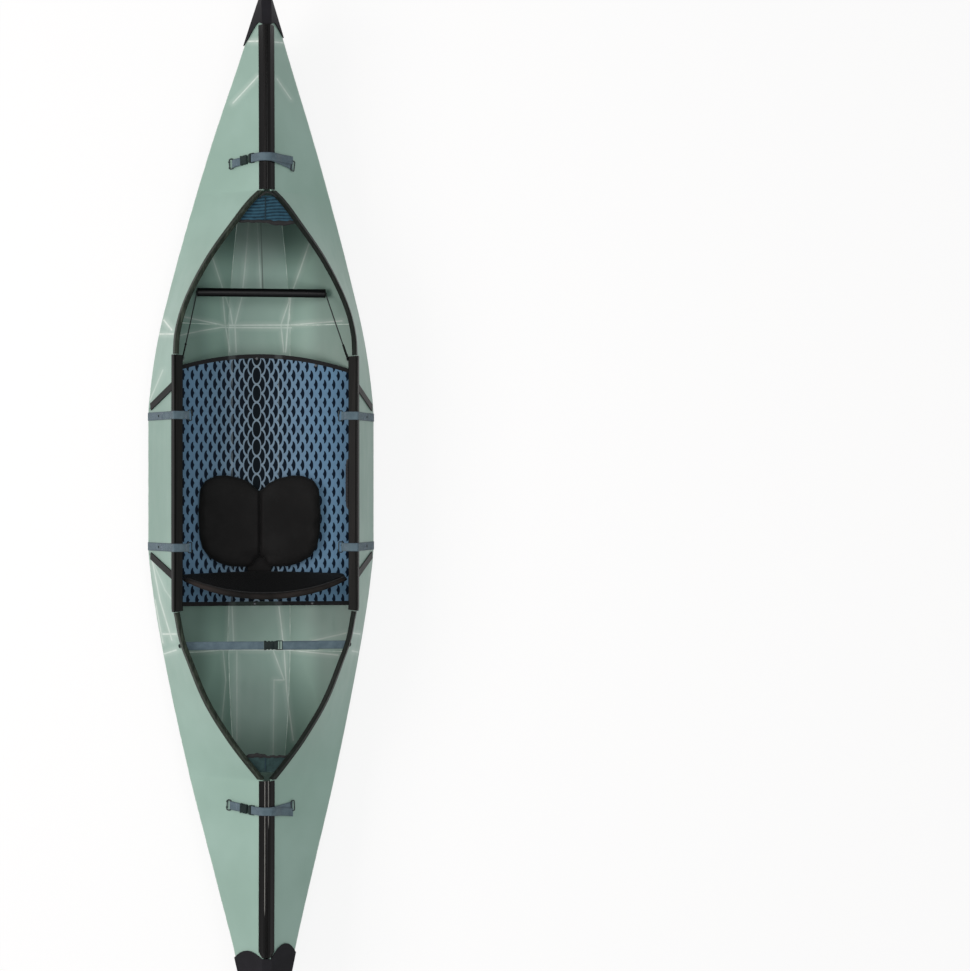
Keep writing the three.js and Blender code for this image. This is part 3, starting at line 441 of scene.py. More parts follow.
def swollen(form, voxel, cap):
    """The form remeshed and blown up a little as cloth, with no point moved past the cap"""
    scene = bpy.context.scene
    mesh = bpy.data.meshes.new("swelling")
    form.to_mesh(mesh)
    form.free()
    blank = bpy.data.objects.new("swelling", mesh)
    scene.collection.objects.link(blank)

    def settled():
        graph = bpy.context.evaluated_depsgraph_get()
        return bpy.data.meshes.new_from_object(blank.evaluated_get(graph))

    even = blank.modifiers.new("even", "REMESH")
    even.mode = "VOXEL"
    even.voxel_size = voxel
    mesh = settled()
    blank.modifiers.clear()
    blank.data = mesh
    rest = [vert.co.copy() for vert in mesh.vertices]
    cloth = blank.modifiers.new("air", "CLOTH")
    cloth.settings.use_pressure = True
    cloth.settings.uniform_pressure_force = air_pressure
    cloth.settings.effector_weights.gravity = 0
    for step in range(1, air_steps + 1):
        scene.frame_set(step)
    mesh = settled()
    scene.frame_set(1)
    for vert, start in zip(mesh.vertices, rest):
        move = vert.co - start
        if move.length > cap:
            vert.co = start + move * (cap / move.length)
    bpy.data.objects.remove(blank)
    form = bmesh.new()
    form.from_mesh(mesh)
    for turn in range(2):
        bmesh.ops.smooth_vert(
            form, verts=form.verts[:], factor=0.5, use_axis_x=True, use_axis_y=True, use_axis_z=True
        )
    bmesh.ops.subdivide_edges(form, edges=form.edges[:], cuts=1, use_grid_fill=True, smooth=1)
    return form


def fitted(form, low, high):
    """The form stretched along and across, so that it fills its space again"""
    for axis in (0, 1):
        values = [vert.co[axis] for vert in form.verts]
        near, far = min(values), max(values)
        stretch = (high[axis] - low[axis]) / (far - near)
        for vert in form.verts:
            vert.co[axis] = low[axis] + (vert.co[axis] - near) * stretch
    return form


# Shader expressions


def paint(red, green, blue):
    """A colour written as its 0 to 255 screen values"""

    def linear(value):
        share = value / 255
        return share / 12.92 if share <= 0.04045 else ((share + 0.055) / 1.055) ** 2.4

    return (linear(red), linear(green), linear(blue), 1)


class Wire:
    """A shader socket that can stand in a Python expression"""

    def __init__(self, finish, socket):
        self.finish = finish
        self.socket = socket

    def math(self, operation, *values):
        return self.finish.make("Math", {"operation": operation}, dict(enumerate(values)))

    def __add__(self, other):
        return self.math("ADD", self, other)

    def __sub__(self, other):
        return self.math("SUBTRACT", self, other)

    def __rsub__(self, other):
        return self.math("SUBTRACT", other, self)

    def __mul__(self, other):
        return self.math("MULTIPLY", self, other)

    def __truediv__(self, other):
        return self.math("DIVIDE", self, other)

    def __pow__(self, other):
        return self.math("POWER", self, other)

    def __abs__(self):
        return self.math("ABSOLUTE", self)

    def __mod__(self, other):
        return self.math("FLOORED_MODULO", self, other)

    __radd__ = __add__
    __rmul__ = __mul__

    def sine(self):
        return self.math("SINE", self)

    def angle(self, other):
        return self.math("ARCTAN2", self, other)

    def least(self, other):
        return self.math("MINIMUM", self, other)

    def most(self, other):
        return self.math("MAXIMUM", self, other)

    def ramp(self, low, high):
        """0 at low and 1 at high, smooth between, whichever is the larger"""
        if low > high:
            return 1 - self.ramp(high, low)
        settings = {"interpolation_type": "SMOOTHSTEP"}
        return self.finish.make("MapRange", settings, {0: self, 1: low, 2: high})


class Finish:
    """A material whose shader is written as expressions"""

    def __init__(self, name, **constants):
        self.material = bpy.data.materials.new(name)
        self.material.use_nodes = True
        self.nodes = self.material.node_tree.nodes
        self.surface = self.nodes["Principled BSDF"]
        for socket, value in constants.items():
            self.set(socket.replace("_", " ").title().replace("Ior", "IOR"), value)

    def feed(self, socket, value):
        if isinstance(value, Wire):
            self.material.node_tree.links.new(value.socket, socket)
        else:
            socket.default_value = value

    def make(self, kind, settings=None, values=None, out=0):
        node = self.nodes.new("ShaderNode" + kind)
        for setting, value in (settings or {}).items():
            setattr(node, setting, value)
        for socket, value in (values or {}).items():
            self.feed(node.inputs[socket], value)
        return Wire(self, node.outputs[out])

    def set(self, socket, value):
        self.feed(self.surface.inputs[socket], value)

    def mix(self, share, first, second):
        return self.make("Mix", {"data_type": "RGBA"}, {0: share, 6: first, 7: second}, 2)

    def vector(self, operation, values, out=0):
        return self.make("VectorMath", {"operation": operation}, values, out)

    def place(self):
        return self.make("TexCoord", out="Object")

    def attribute(self, name):
        return self.make("Attribute", {"attribute_name": name}, out="Vector")

    def apart(self, vector):
        node = self.make("SeparateXYZ", None, {0: vector}).socket.node
        return [Wire(self, socket) for socket in node.outputs]

    def together(self, x, y, z):
        return self.make("CombineXYZ", None, {0: x, 1: y, 2: z})

    def noise(self, scale, detail=2, rough=0.5, stretch=None):
        where = self.place()
        if stretch:
            where = self.vector("MULTIPLY", {0: where, 1: stretch})
        values = {"Vector": where, "Scale": scale, "Detail": detail, "Roughness": rough}
        return self.make("TexNoise", None, values)

    def bump(self, height, distance, strength=1.0):
        values = {"Strength": strength, "Distance": distance, "Height": height}
        self.set("Normal", self.make("Bump", None, values))

    def line_gap(self, where, start, end):
        """The distance from a place to the line between two points"""
        along = Vector(end) - Vector(start)
        offset = self.vector("SUBTRACT", {0: where, 1: start})
        dot = self.vector("DOT_PRODUCT", {0: offset, 1: along}, 1)
        share = (dot / along.length_squared).least(1).most(0)
        reach = self.vector("SCALE", {0: along, 3: share})
        gap = self.vector("SUBTRACT", {0: offset, 1: reach})
        return self.vector("LENGTH", {0: gap}, 1)


# Finishes

hull_paint = paint(143, 172, 161)
hull_shade = paint(132, 161, 149)
# The darker green of the painted shade inside the hull
painted_shade_paint = paint(58, 80, 73)
crease_paint = paint(222, 233, 226)
# The dark colour of the painted shade along a fold
fold_shade_paint = paint(38, 56, 50)
# The pale colour of the painted highlights along the stern channel
highlight_paint = paint(150, 150, 146)
fold_line_width = 0.0036
fold_haze_width = 0.018
plastic_gloss = 0.08

# Painted shade inside the hull, where the sheet's inner face is painted darker: a start, an end
# and a share, first out from the middle and then along the boat under each deck
wall_painted_shade = (0.13, 0.2, 0.5)
bow_painted_shade = (0.74, 0.87, 0.75)
stern_painted_shade = (-0.46, -0.62, 0.35)

# Folded creases, as lines of (x, y) points with a strength from 0 to 1
bow_deck_creases = [
    ([(1.423, 0.025), (1.431, 0.056)], 0.9),
    ([(1.422, -0.027), (1.43, -0.06)], 0.7),
    ([(1.316, 0.025), (1.245, 0.096)], 0.6),
    ([(1.31, -0.033), (1.258, -0.079)], 0.5),
    ([(0.586, 0.303), (0.549, 0.282)], 0.8),
    ([(0.544, 0.315), (0.536, 0.279)], 0.8),
    ([(0.34, 0.345), (0.429, 0.308)], 0.35),
]
stern_deck_creases = [
    ([(-0.154, 0.339), (-0.276, 0.316), (-0.396, 0.281)], 0.55),
    ([(-0.154, 0.339), (-0.243, 0.302), (-0.282, 0.274)], 0.3),
    ([(-0.382, 0.306), (-0.375, 0.27)], 0.7),
    ([(-0.375, -0.264), (-0.387, -0.303)], 0.7),
    ([(-0.435, -0.272), (-0.444, -0.298)], 0.6),
    ([(-0.278, 0.33), (-0.41, 0.306)], 0.5),
    ([(-0.444, 0.301), (-0.426, 0.269)], 0.6),
]
floor_creases = [
    ([(0.6, 0.237), (0.581, 0.118), (0.584, -0.103), (0.592, -0.252)], 0.75),
    ([(0.536, 0.279), (0.559, 0.189), (0.574, 0.118), (0.575, -0.1)], 0.6),
    ([(0.82, 0.161), (0.703, 0.119), (0.578, 0.107), (0.497, 0.093)], 0.55),
    ([(0.914, 0.034), (0.756, 0.046), (0.668, 0.056), (0.582, 0.077), (0.497, 0.073)], 0.5),
    ([(0.908, 0.007), (0.703, -0.004)], 0.45),
    ([(0.858, -0.158), (0.756, -0.126), (0.694, -0.105), (0.584, -0.068), (0.498, -0.077)], 0.55),
    ([(0.677, -0.099), (0.584, -0.09), (0.498, -0.083)], 0.6),
    ([(0.703, 0.119), (0.63, 0.092), (0.582, 0.084)], 0.5),
    ([(-0.443, 0.221), (-0.442, 0.118), (-0.444, -0.084), (-0.456, -0.24)], 0.8),
    ([(-0.414, -0.163), (-0.387, -0.265)], 0.55),
    ([(-0.307, 0.096), (-0.442, 0.1)], 0.55),
    ([(-0.307, 0.086), (-0.443, 0.08)], 0.5),
    ([(-0.443, 0.071), (-0.727, 0.071)], 0.4),
    ([(-0.442, 0.115), (-0.537, 0.106), (-0.661, 0.119)], 0.5),
    ([(-0.308, -0.062), (-0.444, -0.078), (-0.571, -0.086), (-0.728, -0.105)], 0.75),
    ([(-0.444, -0.043), (-0.539, -0.078)], 0.65),
    ([(-0.539, -0.046), (-0.776, -0.043)], 0.4),
    ([(-0.539, -0.046), (-0.539, -0.078)], 0.55),
]
# A fold along the keel strip, painted as a dark line: painted shade in the fold
fold_shade_lines = [([(0.92, -0.004), (0.692, -0.011)], 1.0)]


def hull_sheet(name, creases, dark=(), paints=(hull_paint, hull_shade), inner=False):
    """Satin twin-walled plastic sheet with pale folded creases, dark folds as painted shade, and
    painted shade inside where asked
    """
    sheet = Finish(name, coat_weight=0.08, coat_roughness=0.35, specular_ior_level=0.35)
    x, y, z = sheet.apart(sheet.place())
    flat = sheet.together(x, y, 0)
    cloud = sheet.noise(3.2, 3, 0.55)
    scuff = sheet.noise(38, 4, 0.65, stretch=(0.25, 1, 1))
    colour = sheet.mix(cloud.ramp(0.3, 0.7), *paints)

    def fold_mask(lines, width):
        mask = None
        for points, strength in lines:
            for start, end in zip(points, points[1:]):
                gap = sheet.line_gap(flat, (*start, 0), (*end, 0))
                fold = gap.ramp(width, 0) * strength
                mask = fold if mask is None else mask.most(fold)
        return mask

    height = scuff * 0.0001
    if creases:
        sharp = fold_mask(creases, fold_line_width)
        haze = fold_mask(creases, fold_haze_width)
        broken = sheet.noise(45, 2).ramp(0.15, 0.6)
        colour = sheet.mix(haze * 0.26, colour, crease_paint)
        colour = sheet.mix(sharp * (broken * 0.5 + 0.42), colour, crease_paint)
        height = height + sharp * 0.0008
    # Painted shade: the given folds drawn as dark lines
    if dark:
        painted_fold_shade = fold_mask(dark, fold_line_width)
        colour = sheet.mix(painted_fold_shade * 0.8, colour, fold_shade_paint)
    # Painted shade: the inner face painted darker toward the walls and under the bow and stern
    # decks
    if inner:
        reaches = ((abs(y), wall_painted_shade), (x, bow_painted_shade), (x, stern_painted_shade))
        painted_wall_shade, bow, stern = [at.ramp(start, end) * share for at, (start, end, share) in reaches]
        colour = sheet.mix(painted_wall_shade.most(bow).most(stern), colour, painted_shade_paint)
    sheet.set("Base Color", colour)
    sheet.set("Roughness", scuff.ramp(0.2, 0.9) * 0.16 + 0.4)
    sheet.bump(height, 1.0, 0.6)
    return sheet.material


def moulded(name, colour, lighter, rough, grain):
    """Moulded plastic with a fine grain and a little dust"""
    plastic = Finish(name, specular_ior_level=plastic_gloss)
    dust = plastic.noise(14, 4, 0.6)
    fine = plastic.noise(grain, 2, 0.5)
    plastic.set("Base Color", plastic.mix(dust.ramp(0.35, 0.8), colour, lighter))
    plastic.set("Roughness", fine * 0.12 + (rough - 0.06))
    plastic.bump(fine, 0.0001, 0.5)
    return plastic.material


def drawn_trim(name, colour, lighter, rough, highlight_ridges=(), gloss=plastic_gloss):
    """Extruded plastic, streaked along the boat, with pale lines painted along given ridges as
    painted highlights
    """
    trim = Finish(name, specular_ior_level=gloss)
    streak = trim.noise(220, 3, 0.6, stretch=(0.02, 1, 1))
    dust = trim.noise(22, 4, 0.7)
    tone = trim.mix(streak.ramp(0.3, 0.75) * dust, colour, lighter)
    x, y, z = trim.apart(trim.place())
    # Painted highlights: a pale line along each given ridge, forward of its rear end, broken by
    # dust
    for highlight_y, rear_end in highlight_ridges:
        painted_highlight = abs(y - highlight_y).ramp(0.0016, 0.0004) * x.ramp(rear_end - 0.03, rear_end)
        tone = trim.mix(painted_highlight * (dust * 0.3 + 0.45), tone, highlight_paint)
    trim.set("Base Color", tone)
    trim.set("Roughness", streak * 0.2 + (rough - 0.1))
    trim.bump(streak, 0.0002, 0.4)
    return trim.material


board_column = 0.01405
board_row = 0.02797
board_middle_y = 0.0147
board_start_x = -0.0279
board_half = 0.26
board_folds = (0.0915, -0.0535)


def printed_board():
    """A scale lattice: ovals in columns, the inner ones in front, thinning out to the sides"""
    board = Finish("printed_board", specular_ior_level=0.06)
    x, y, z = board.apart(board.place())
    out = abs(y - board_middle_y)
    share = (out / board_half).least(1)
    easing = 1 - (1 - share) * (1 - share)
    column = out / board_column
    part = column % 1
    odd = (column - part) % 2

    def off_centre(shift):
        row = (x - board_start_x) / (2 * board_row) + shift * 0.5
        return 1 - abs(row % 1 - 0.5) * 2

    inner = (part * part + off_centre(odd) ** 2) ** 0.5
    beside = 1 - part
    outer = (beside * beside + off_centre(1 - odd) ** 2) ** 0.5
    line = easing * 0.3 + 0.13
    rim_line = easing * 0.16 + 0.07
    in_front = (line + inner).ramp(1.02, 0.98)
    behind = (inner - rim_line).ramp(0.98, 1.02) * (line + outer).ramp(1.03, 0.97)
    cell = in_front.most(behind)
    worn = board.noise(30, 4, 0.6)
    lines = board.mix(easing, paint(120, 138, 150), paint(96, 130, 158))
    lines = board.mix(worn.ramp(0.4, 0.8) * 0.4, lines, paint(90, 112, 134))
    dark = board.mix(easing, paint(3, 10, 16), paint(3, 18, 34))
    colour = board.mix(cell, lines, dark)
    for fold in board_folds:
        streak = abs(y - fold).ramp(0.003, 0.0004) * board.noise(24, 3, 0.6).ramp(0.35, 0.6)
        colour = board.mix(streak * 0.45, colour, paint(150, 165, 172))
    board.set("Base Color", colour)
    board.set("Roughness", cell * 0.1 + worn * 0.15 + 0.45)
    board.bump(1 - cell, 0.0002, 0.4)
    return board.material


def bound_edge():
    """Black edge binding with a fine rib, paler where the board folds"""
    binding = Finish("bound_edge", specular_ior_level=0.1)
    x, y, z = binding.apart(binding.place())
    rib = ((y + x * 0.4) * (full_turn / 0.0016)).sine()
    dust = binding.noise(18, 4, 0.6)
    colour = binding.mix(dust, paint(18, 19, 20), paint(40, 40, 42))
    for fold in board_folds:
        colour = binding.mix(abs(y - fold).ramp(0.016, 0.006) * 0.25, colour, paint(110, 118, 118))
    bare = y.ramp(-0.052, -0.044) * y.ramp(0.097, 0.089) * x.ramp(-0.2, -0.25)
    colour = binding.mix(bare * 0.25, colour, paint(76, 96, 88))
    binding.set("Base Color", colour)
    binding.set("Roughness", dust * 0.2 + 0.55)
    binding.bump(rib, 0.0003, 0.4)
    return binding.material


def pad_cloth(name, colour, lighter, gloss=0.07):
    """Tight black pack cloth over foam"""
    cloth = Finish(name, sheen_weight=0.02, sheen_roughness=0.5, specular_ior_level=gloss)
    x, y, z = cloth.apart(cloth.place())
    turn = full_turn / 0.0014
    weave = (x * turn).sine() * ((y + z) * turn).sine()
    soil = cloth.noise(9, 4, 0.6)
    cloth.set("Base Color", cloth.mix(soil.ramp(0.3, 0.75), colour, lighter))
    cloth.set("Roughness", weave * 0.08 + 0.62)
    cloth.bump(weave, 0.00025, 0.4)
    return cloth.material


def woven_webbing():
    """Slate webbing: ribs across it, a herringbone along it, darker selvedges"""
    webbing = Finish("woven_webbing", sheen_weight=0.1, specular_ior_level=0.25)
    along, across, up = webbing.apart(webbing.attribute("weave"))
    slant = abs((across / 0.0062) % 1 - 0.5) * 0.004
    rib = ((along + slant) * (full_turn / 0.0019)).sine()
    yarn = (across * (full_turn / 0.0013)).sine()
    edge = abs(across).ramp(0.0098, 0.0122)
    tone = webbing.noise(45, 3, 0.6)
    colour = webbing.mix(tone.ramp(0.3, 0.7), paint(92, 112, 121), paint(78, 97, 106))
    colour = webbing.mix((rib * 0.5 + 0.5) * 0.35, colour, paint(62, 78, 88))
    colour = webbing.mix(edge * 0.5, colour, paint(50, 62, 70))
    webbing.set("Base Color", colour)
    webbing.set("Roughness", rib * 0.06 + 0.78)
    webbing.bump(rib + yarn * 0.4, 0.0003, 0.6)
    return webbing.material


def braided(name, colour, lighter, pitch):
    """Two crossing helices round the piece's own length"""
    braid = Finish(name, sheen_weight=0.1, specular_ior_level=0.2)
    along, across, up = braid.apart(braid.attribute("weave"))
    round_it = up.angle(across) * 2
    first = (along * (full_turn / pitch) + round_it).sine()
    second = (along * (full_turn / pitch) - round_it).sine()
    strands = first.most(second)
    braid.set("Base Color", braid.mix(strands * 0.5 + 0.5, colour, lighter))
    braid.set("Roughness", strands * 0.06 + 0.7)
    braid.bump(strands, 0.0005, 0.6)
    return braid.material


def spun_thread(name, colour, lighter):
    """Fine twisted yarn, as in a net or a row of stitches"""
    yarn = Finish(name, sheen_weight=0.15, specular_ior_level=0.25)
    x, y, z = yarn.apart(yarn.place())
    twist = ((x + y * 0.5 + z) * (full_turn / 0.0011)).sine()
    tone = yarn.noise(70, 3, 0.6)
    yarn.set("Base Color", yarn.mix(tone.ramp(0.3, 0.7), colour, lighter))
    yarn.set("Roughness", twist * 0.05 + 0.75)
    yarn.bump(twist, 0.0002, 0.5)
    return yarn.material


ripple_pitch = 0.0095
ripple_waver = 0.0014
ripple_turn = 55
ripple_slant = 0.06
knit_pitch = 0.0016


def ripple_drift(y):
    """How far along the boat a ripple of the net has wandered at a place across it"""
    return ripple_waver * math.sin(y * ripple_turn) + y * ripple_slant


def rippled_net(name, colour, lighter, share):
    """Close-knit stretch net, gathered in fine ripples across the boat"""
    yarn = Finish(name, sheen_weight=0.08, specular_ior_level=0.12)
    x, y, z = yarn.apart(yarn.place())
    drift = (y * ripple_turn).sine() * ripple_waver + y * ripple_slant
    ripple = ((x + drift) * (full_turn / ripple_pitch)).sine() * 0.5 + 0.5
    knit = (x * (full_turn / knit_pitch)).sine() * (y * (full_turn / knit_pitch)).sine()
    tone = yarn.noise(60, 3, 0.6).ramp(0.3, 0.7)
    # The colour follows the ripples, lighter on their crests and darker in their troughs: painted
    # light and shade, mixed with a random tone
    yarn.set("Base Color", yarn.mix(ripple * share + tone * (1 - share), colour, lighter))
    yarn.set("Roughness", ripple * 0.1 + 0.68)
    yarn.bump(ripple * 0.3 + knit, 0.0003, 0.6)
    return yarn.material


def ribbed_elastic():
    """Black elastic with fine ribs across its length"""
    cover = Finish("ribbed_elastic", sheen_weight=0.1, specular_ior_level=0.2)
    along, across, up = cover.apart(cover.attribute("weave"))
    rib = (along * (full_turn / 0.0026)).sine()
    tone = cover.noise(60, 3, 0.6)
    cover.set("Base Color", cover.mix(tone, paint(14, 15, 16), paint(36, 37, 38)))
    cover.set("Roughness", rib * 0.06 + 0.68)
    cover.bump(rib, 0.0004, 0.6)
    return cover.material


def worn_metal(name, colour, chipped, metallic, rough):
    """Wire or a snap, with its coat chipped in places"""
    wire = Finish(name, metallic=metallic)
    chip = wire.noise(160, 4, 0.7)
    wire.set("Base Color", wire.mix(chip.ramp(0.5, 0.75), colour, chipped))
    wire.set("Roughness", chip * 0.2 + rough)
    return wire.material


def whitened_fold():
    """The stretched plastic of a crease, paler in streaks"""
    fold = Finish("whitened_fold", specular_ior_level=0.35)
    streak = fold.noise(26, 4, 0.65)
    fold.set("Base Color", fold.mix(streak.ramp(0.3, 0.75), paint(148, 172, 160), crease_paint))
    fold.set("Roughness", streak * 0.2 + 0.45)
    fold.bump(streak, 0.0003, 0.5)
    return fold.material


bow_decks = hull_sheet("hull_sheet_bow_deck", bow_deck_creases)
stern_decks = hull_sheet("hull_sheet_stern_deck", stern_deck_creases)
inside = hull_sheet("hull_sheet_inside_painted_shade", floor_creases, fold_shade_lines, inner=True)
# The flaps are the same sheet painted a darker green than the decks: painted shade on the steeper
# panels
shaded_flaps = hull_sheet("hull_sheet_flap_shaded", [], (), (paint(134, 162, 151), paint(124, 152, 141)))
finishes = {
    "hull_sheet": shaded_flaps,
    "cap_plastic": moulded("cap_plastic", paint(26, 26, 29), paint(34, 34, 38), 0.62, 700),
    "trim_plastic": drawn_trim("trim_plastic", paint(10, 12, 11), paint(28, 27, 25), 0.42),
    "channel_plastic": drawn_trim(
        "channel_plastic", paint(8, 8, 8), paint(15, 15, 15), 0.22, gloss=0.12
    ),
    "board_sheet": printed_board(),
    "binding": bound_edge(),
    "pad_fabric": pad_cloth("pad_cloth", paint(17, 17, 17), paint(26, 26, 26)),
    "webbing": woven_webbing(),
    "buckle_plastic": moulded("buckle_plastic", paint(22, 32, 32), paint(42, 54, 52), 0.4, 1400),
    "ring_metal": worn_metal("coated_wire", paint(20, 32, 34), paint(52, 66, 68), 0.3, 0.35),
    "net_fabric": rippled_net("net_yarn", paint(8, 30, 42), paint(50, 88, 106), 0.7),
    "cord_fabric": braided("braided_cord", paint(16, 18, 18), paint(42, 48, 48), 0.004),
    "bar_tube": drawn_trim("bar_tube", paint(9, 10, 11), paint(18, 18, 19), 0.3, gloss=0.12),
    "grip_fabric": braided("braided_grip", paint(18, 18, 19), paint(42, 42, 44), 0.012),
}
thread_finish = spun_thread("sewing_thread", paint(60, 72, 88), paint(150, 160, 176))
seam_thread = spun_thread("seam_thread", paint(8, 28, 36), paint(20, 46, 56))
net_yarns = {
    "front": finishes["net_fabric"],
    "rear": rippled_net("rear_net_yarn", paint(30, 48, 48), paint(44, 66, 66), 0.15),
}
elastic = ribbed_elastic()
# A lighter copy of the pad cloth for the rolled top edge: painted light on the lit edge
lit_rolled_cloth = pad_cloth("lit_rolled_cloth", paint(18, 17, 16), paint(42, 38, 36))
# A darker copy of the pad cloth for the backrest's front face: painted shade on the leaned-back
# face
shaded_back_cloth = pad_cloth("shaded_back_cloth", paint(4, 6, 7), paint(9, 10, 11), gloss=0.03)
# Two pale lines painted along the stern channel's ridges: painted highlights
stern_highlight_ridges = ((0.0069, -1.2), (-0.0042, -0.935))
stern_channel = drawn_trim(
    "stern_channel", paint(8, 8, 8), paint(15, 15, 15), 0.2, stern_highlight_ridges, gloss=0.12
)
# The port coaming is painted lighter than the starboard one: painted light from the port side, over
# the streaked wear that both have
lit_port_coaming = drawn_trim("worn_and_lit_coaming", paint(17, 24, 19), paint(72, 82, 70), 0.4)
shaded_starboard_coaming = drawn_trim("shaded_starboard_coaming", paint(8, 14, 11), paint(34, 42, 36), 0.4)
folded_edge = whitened_fold()
bright_wire = worn_metal("bright_wire", paint(120, 124, 126), paint(170, 172, 174), 0.9, 0.3)
dull_snap = worn_metal("dull_snap", paint(60, 62, 64), paint(96, 98, 100), 0.8, 0.3)

own_finishes = {
    "bow_deck_port": bow_decks,
    "bow_deck_starboard": bow_decks,
    "stern_deck_port": stern_decks,
    "stern_deck_starboard": stern_decks,
    "bilge": inside,
    "keel_strip": inside,
    "coaming_port": lit_port_coaming,
    "coaming_starboard": shaded_starboard_coaming,
    "stern_deck_channel": stern_channel,
}
for name, node in nodes.items():
    finish = next((own for key, own in own_finishes.items() if key in name), None)
    node.data.materials.clear()
    node.data.materials.append(finish or finishes[slot_of[name]])

# Hull panels: the same sheet, its facets smoothed into one bent surface between its sharp edges

panel_edge_degrees = 32
panel_edge_angle = math.radians(panel_edge_degrees)
panel_merge_distance = 1e-5
panel_bend_levels = 2


def smoothed_panel(name, node):
    panel = bmesh.new()
    panel.from_mesh(node.data)
    bmesh.ops.remove_doubles(panel, verts=panel.verts[:], dist=panel_merge_distance)
    bmesh.ops.join_triangles(
        panel, faces=panel.faces[:], angle_face_threshold=panel_edge_angle,
        angle_shape_threshold=math.pi,
    )
    panel.normal_update()
    crease_edge = panel.edges.layers.float.new("crease_edge")
    for edge in panel.edges:
        edge[crease_edge] = 1.0 if edge.calc_face_angle(math.pi) > panel_edge_angle else 0.0
    piece = finished(
        f"{name}_sheet", panel, "hull_sheet", replaces=[name], sharp=panel_edge_degrees,
        finish=node.data.materials[0],
    )
    bend = piece.modifiers.new("bend", "SUBSURF")
    bend.levels = bend.render_levels = panel_bend_levels


for name, node in nodes.items():
    if slot_of[name] == "hull_sheet":
        smoothed_panel(name, node)

# Folded creases and panel seams

bead_section = circle(0.0014, 6)


def corner_points(edge, normals, depth, stations):
    """A line just under the corner of two panels, or at that depth of the sheet"""
    points = []
    for x in stations:
        first, second = normals(x)
        points.append(edge(x) - (first + second) * (depth / (1 + first.dot(second))))
    return points


def spaced(start, end, count):
    return [start + (end - start) * k / count for k in range(count + 1)]


def keel_normal(x):
    return outward(lambda at, side: keel(at, -1), lambda at, side: keel(at, 1), x, 1)


bead_depths = (0.0008, sheet_thickness - 0.0006)
cross_bead_depths = (0.0009, sheet_thickness - 0.0009)
hull_stations = spaced(-hull_end_share * half_length, hull_end_share * half_length, 90)
seams = bmesh.new()
for side in sides.values():
    corners = [
        (lambda x: chine(x, side), lambda x: (bilge_normal(x, side), side_normal(x, side))),
        (lambda x: keel(x, side), lambda x: (bilge_normal(x, side), keel_normal(x))),
    ]
    for edge, normals in corners:
        for depth in bead_depths:
            line = corner_points(edge, normals, depth, hull_stations)
            sweep(seams, bead_section, frames_along(line, (0, 0, 1)))
    for x in (front_crease_x, rear_crease_x):
        low, high, inward = keel(x, side), chine(x, side), -bilge_normal(x, side)
        for depth in cross_bead_depths:
            line = [low.lerp(high, share) + inward * depth for share in spaced(0.01, 0.99, 12)]
            sweep(seams, bead_section, frames_along(line, (0, 0, 1)))
finished("folded_seams", seams, "hull_sheet", sharp=80, finish=folded_edge)

# Side straps: from a rivet under the chine, up the flap and over the rail to a ring

strap_lift = 0.0008
webbing_width = 0.025
webbing_thickness = 0.0018
loop_radius = 0.0024
ring_tilt = 0.7
rail_out = 0.01
rail_lip = -0.0175
strap_out = rail_out + 0.0014
strap_top = -0.0114
strap_loop_spot = (-0.038, -0.006)
strap_end_under_chine = 0.03
strap_face = strap_lift + webbing_thickness + 0.0001
side_strap_stations = {"front": 0.1805 * half_length, "rear": -0.07 * half_length}
strap_rivet_down = 0.129
strap_box_down = 0.107
side_ring_half = 0.0157
side_ring_short = 0.0072


def mirrored(path, side):
    """A path of (y, z) points drawn to port, for either side"""
    return path if side > 0 else [(-y, z) for y, z in reversed(path)]


def strap_loop(x):
    """The middle of the loop at the strap's inner end, to port"""
    place = rim_point(x, 1, *strap_loop_spot)
    return place.y, place.z - loop_radius


def side_strap_path(station, middle_x):
    """From under the chine up the flap, over the rail and round the ring, to port"""
    edge = chine(station, 1)
    under = (keel(station, 1) - edge).normalized()
    below, beside = bilge_normal(station, 1), side_normal(station, 1)
    low_end = edge + under * strap_end_under_chine + below * strap_lift
    corner = edge + (below + beside) * ((strap_lift + 0.0004) / (1 + below.dot(beside)))
    panel = (edge - rim(station, 1)).length
    over_rail = [(strap_lift, panel * 0.7), (strap_lift, 0.034), (strap_out, 0.015)]
    over_rail += [(strap_out, -0.009), (rail_out, strap_top), (rail_lip, strap_top)]
    points = [low_end, corner] + [rim_point(station, 1, *spot) for spot in over_rail]
    y, z = strap_loop(middle_x)
    turns = [math.pi * (0.5 + share) for share in (0, 0.25, 0.5, 0.75, 1, 1.25)]
    loop = [(y + loop_radius * math.cos(turn), z + loop_radius * math.sin(turn)) for turn in turns]
    return [(place.y, place.z) for place in points] + loop


def rivet_profile(radius, height):
    """A low domed head"""
    return [
        (0, height), (radius * 0.55, height * 0.92), (radius * 0.85, height * 0.6),
        (radius, height * 0.2), (radius, 0), (0, 0),
    ]


def side_strap_stitching(x, side):
    """A box and cross on the flap, and two rows inside the rail"""
    thread = bmesh.new()
    up, along = side_normal(x, side), down_side(x, side)
    box = rim_point(x, side, strap_face, strap_box_down)
    crossed_box(thread, box, along, up.cross(along), up, 0.009, 0.009)
    near, far = rim_point(x, side, rail_lip, strap_top), rim_point(x, side, *strap_loop_spot)
    above = (far - near).cross(Vector((side, 0, 0))).normalized()
    reach = Vector((0.0105, 0, 0))
    for share in (0.42, 0.62):
        middle = near.lerp(far, share) + above * (webbing_thickness + 0.0001)
        stitch_row(thread, middle - reach, middle + reach, above)
    return thread


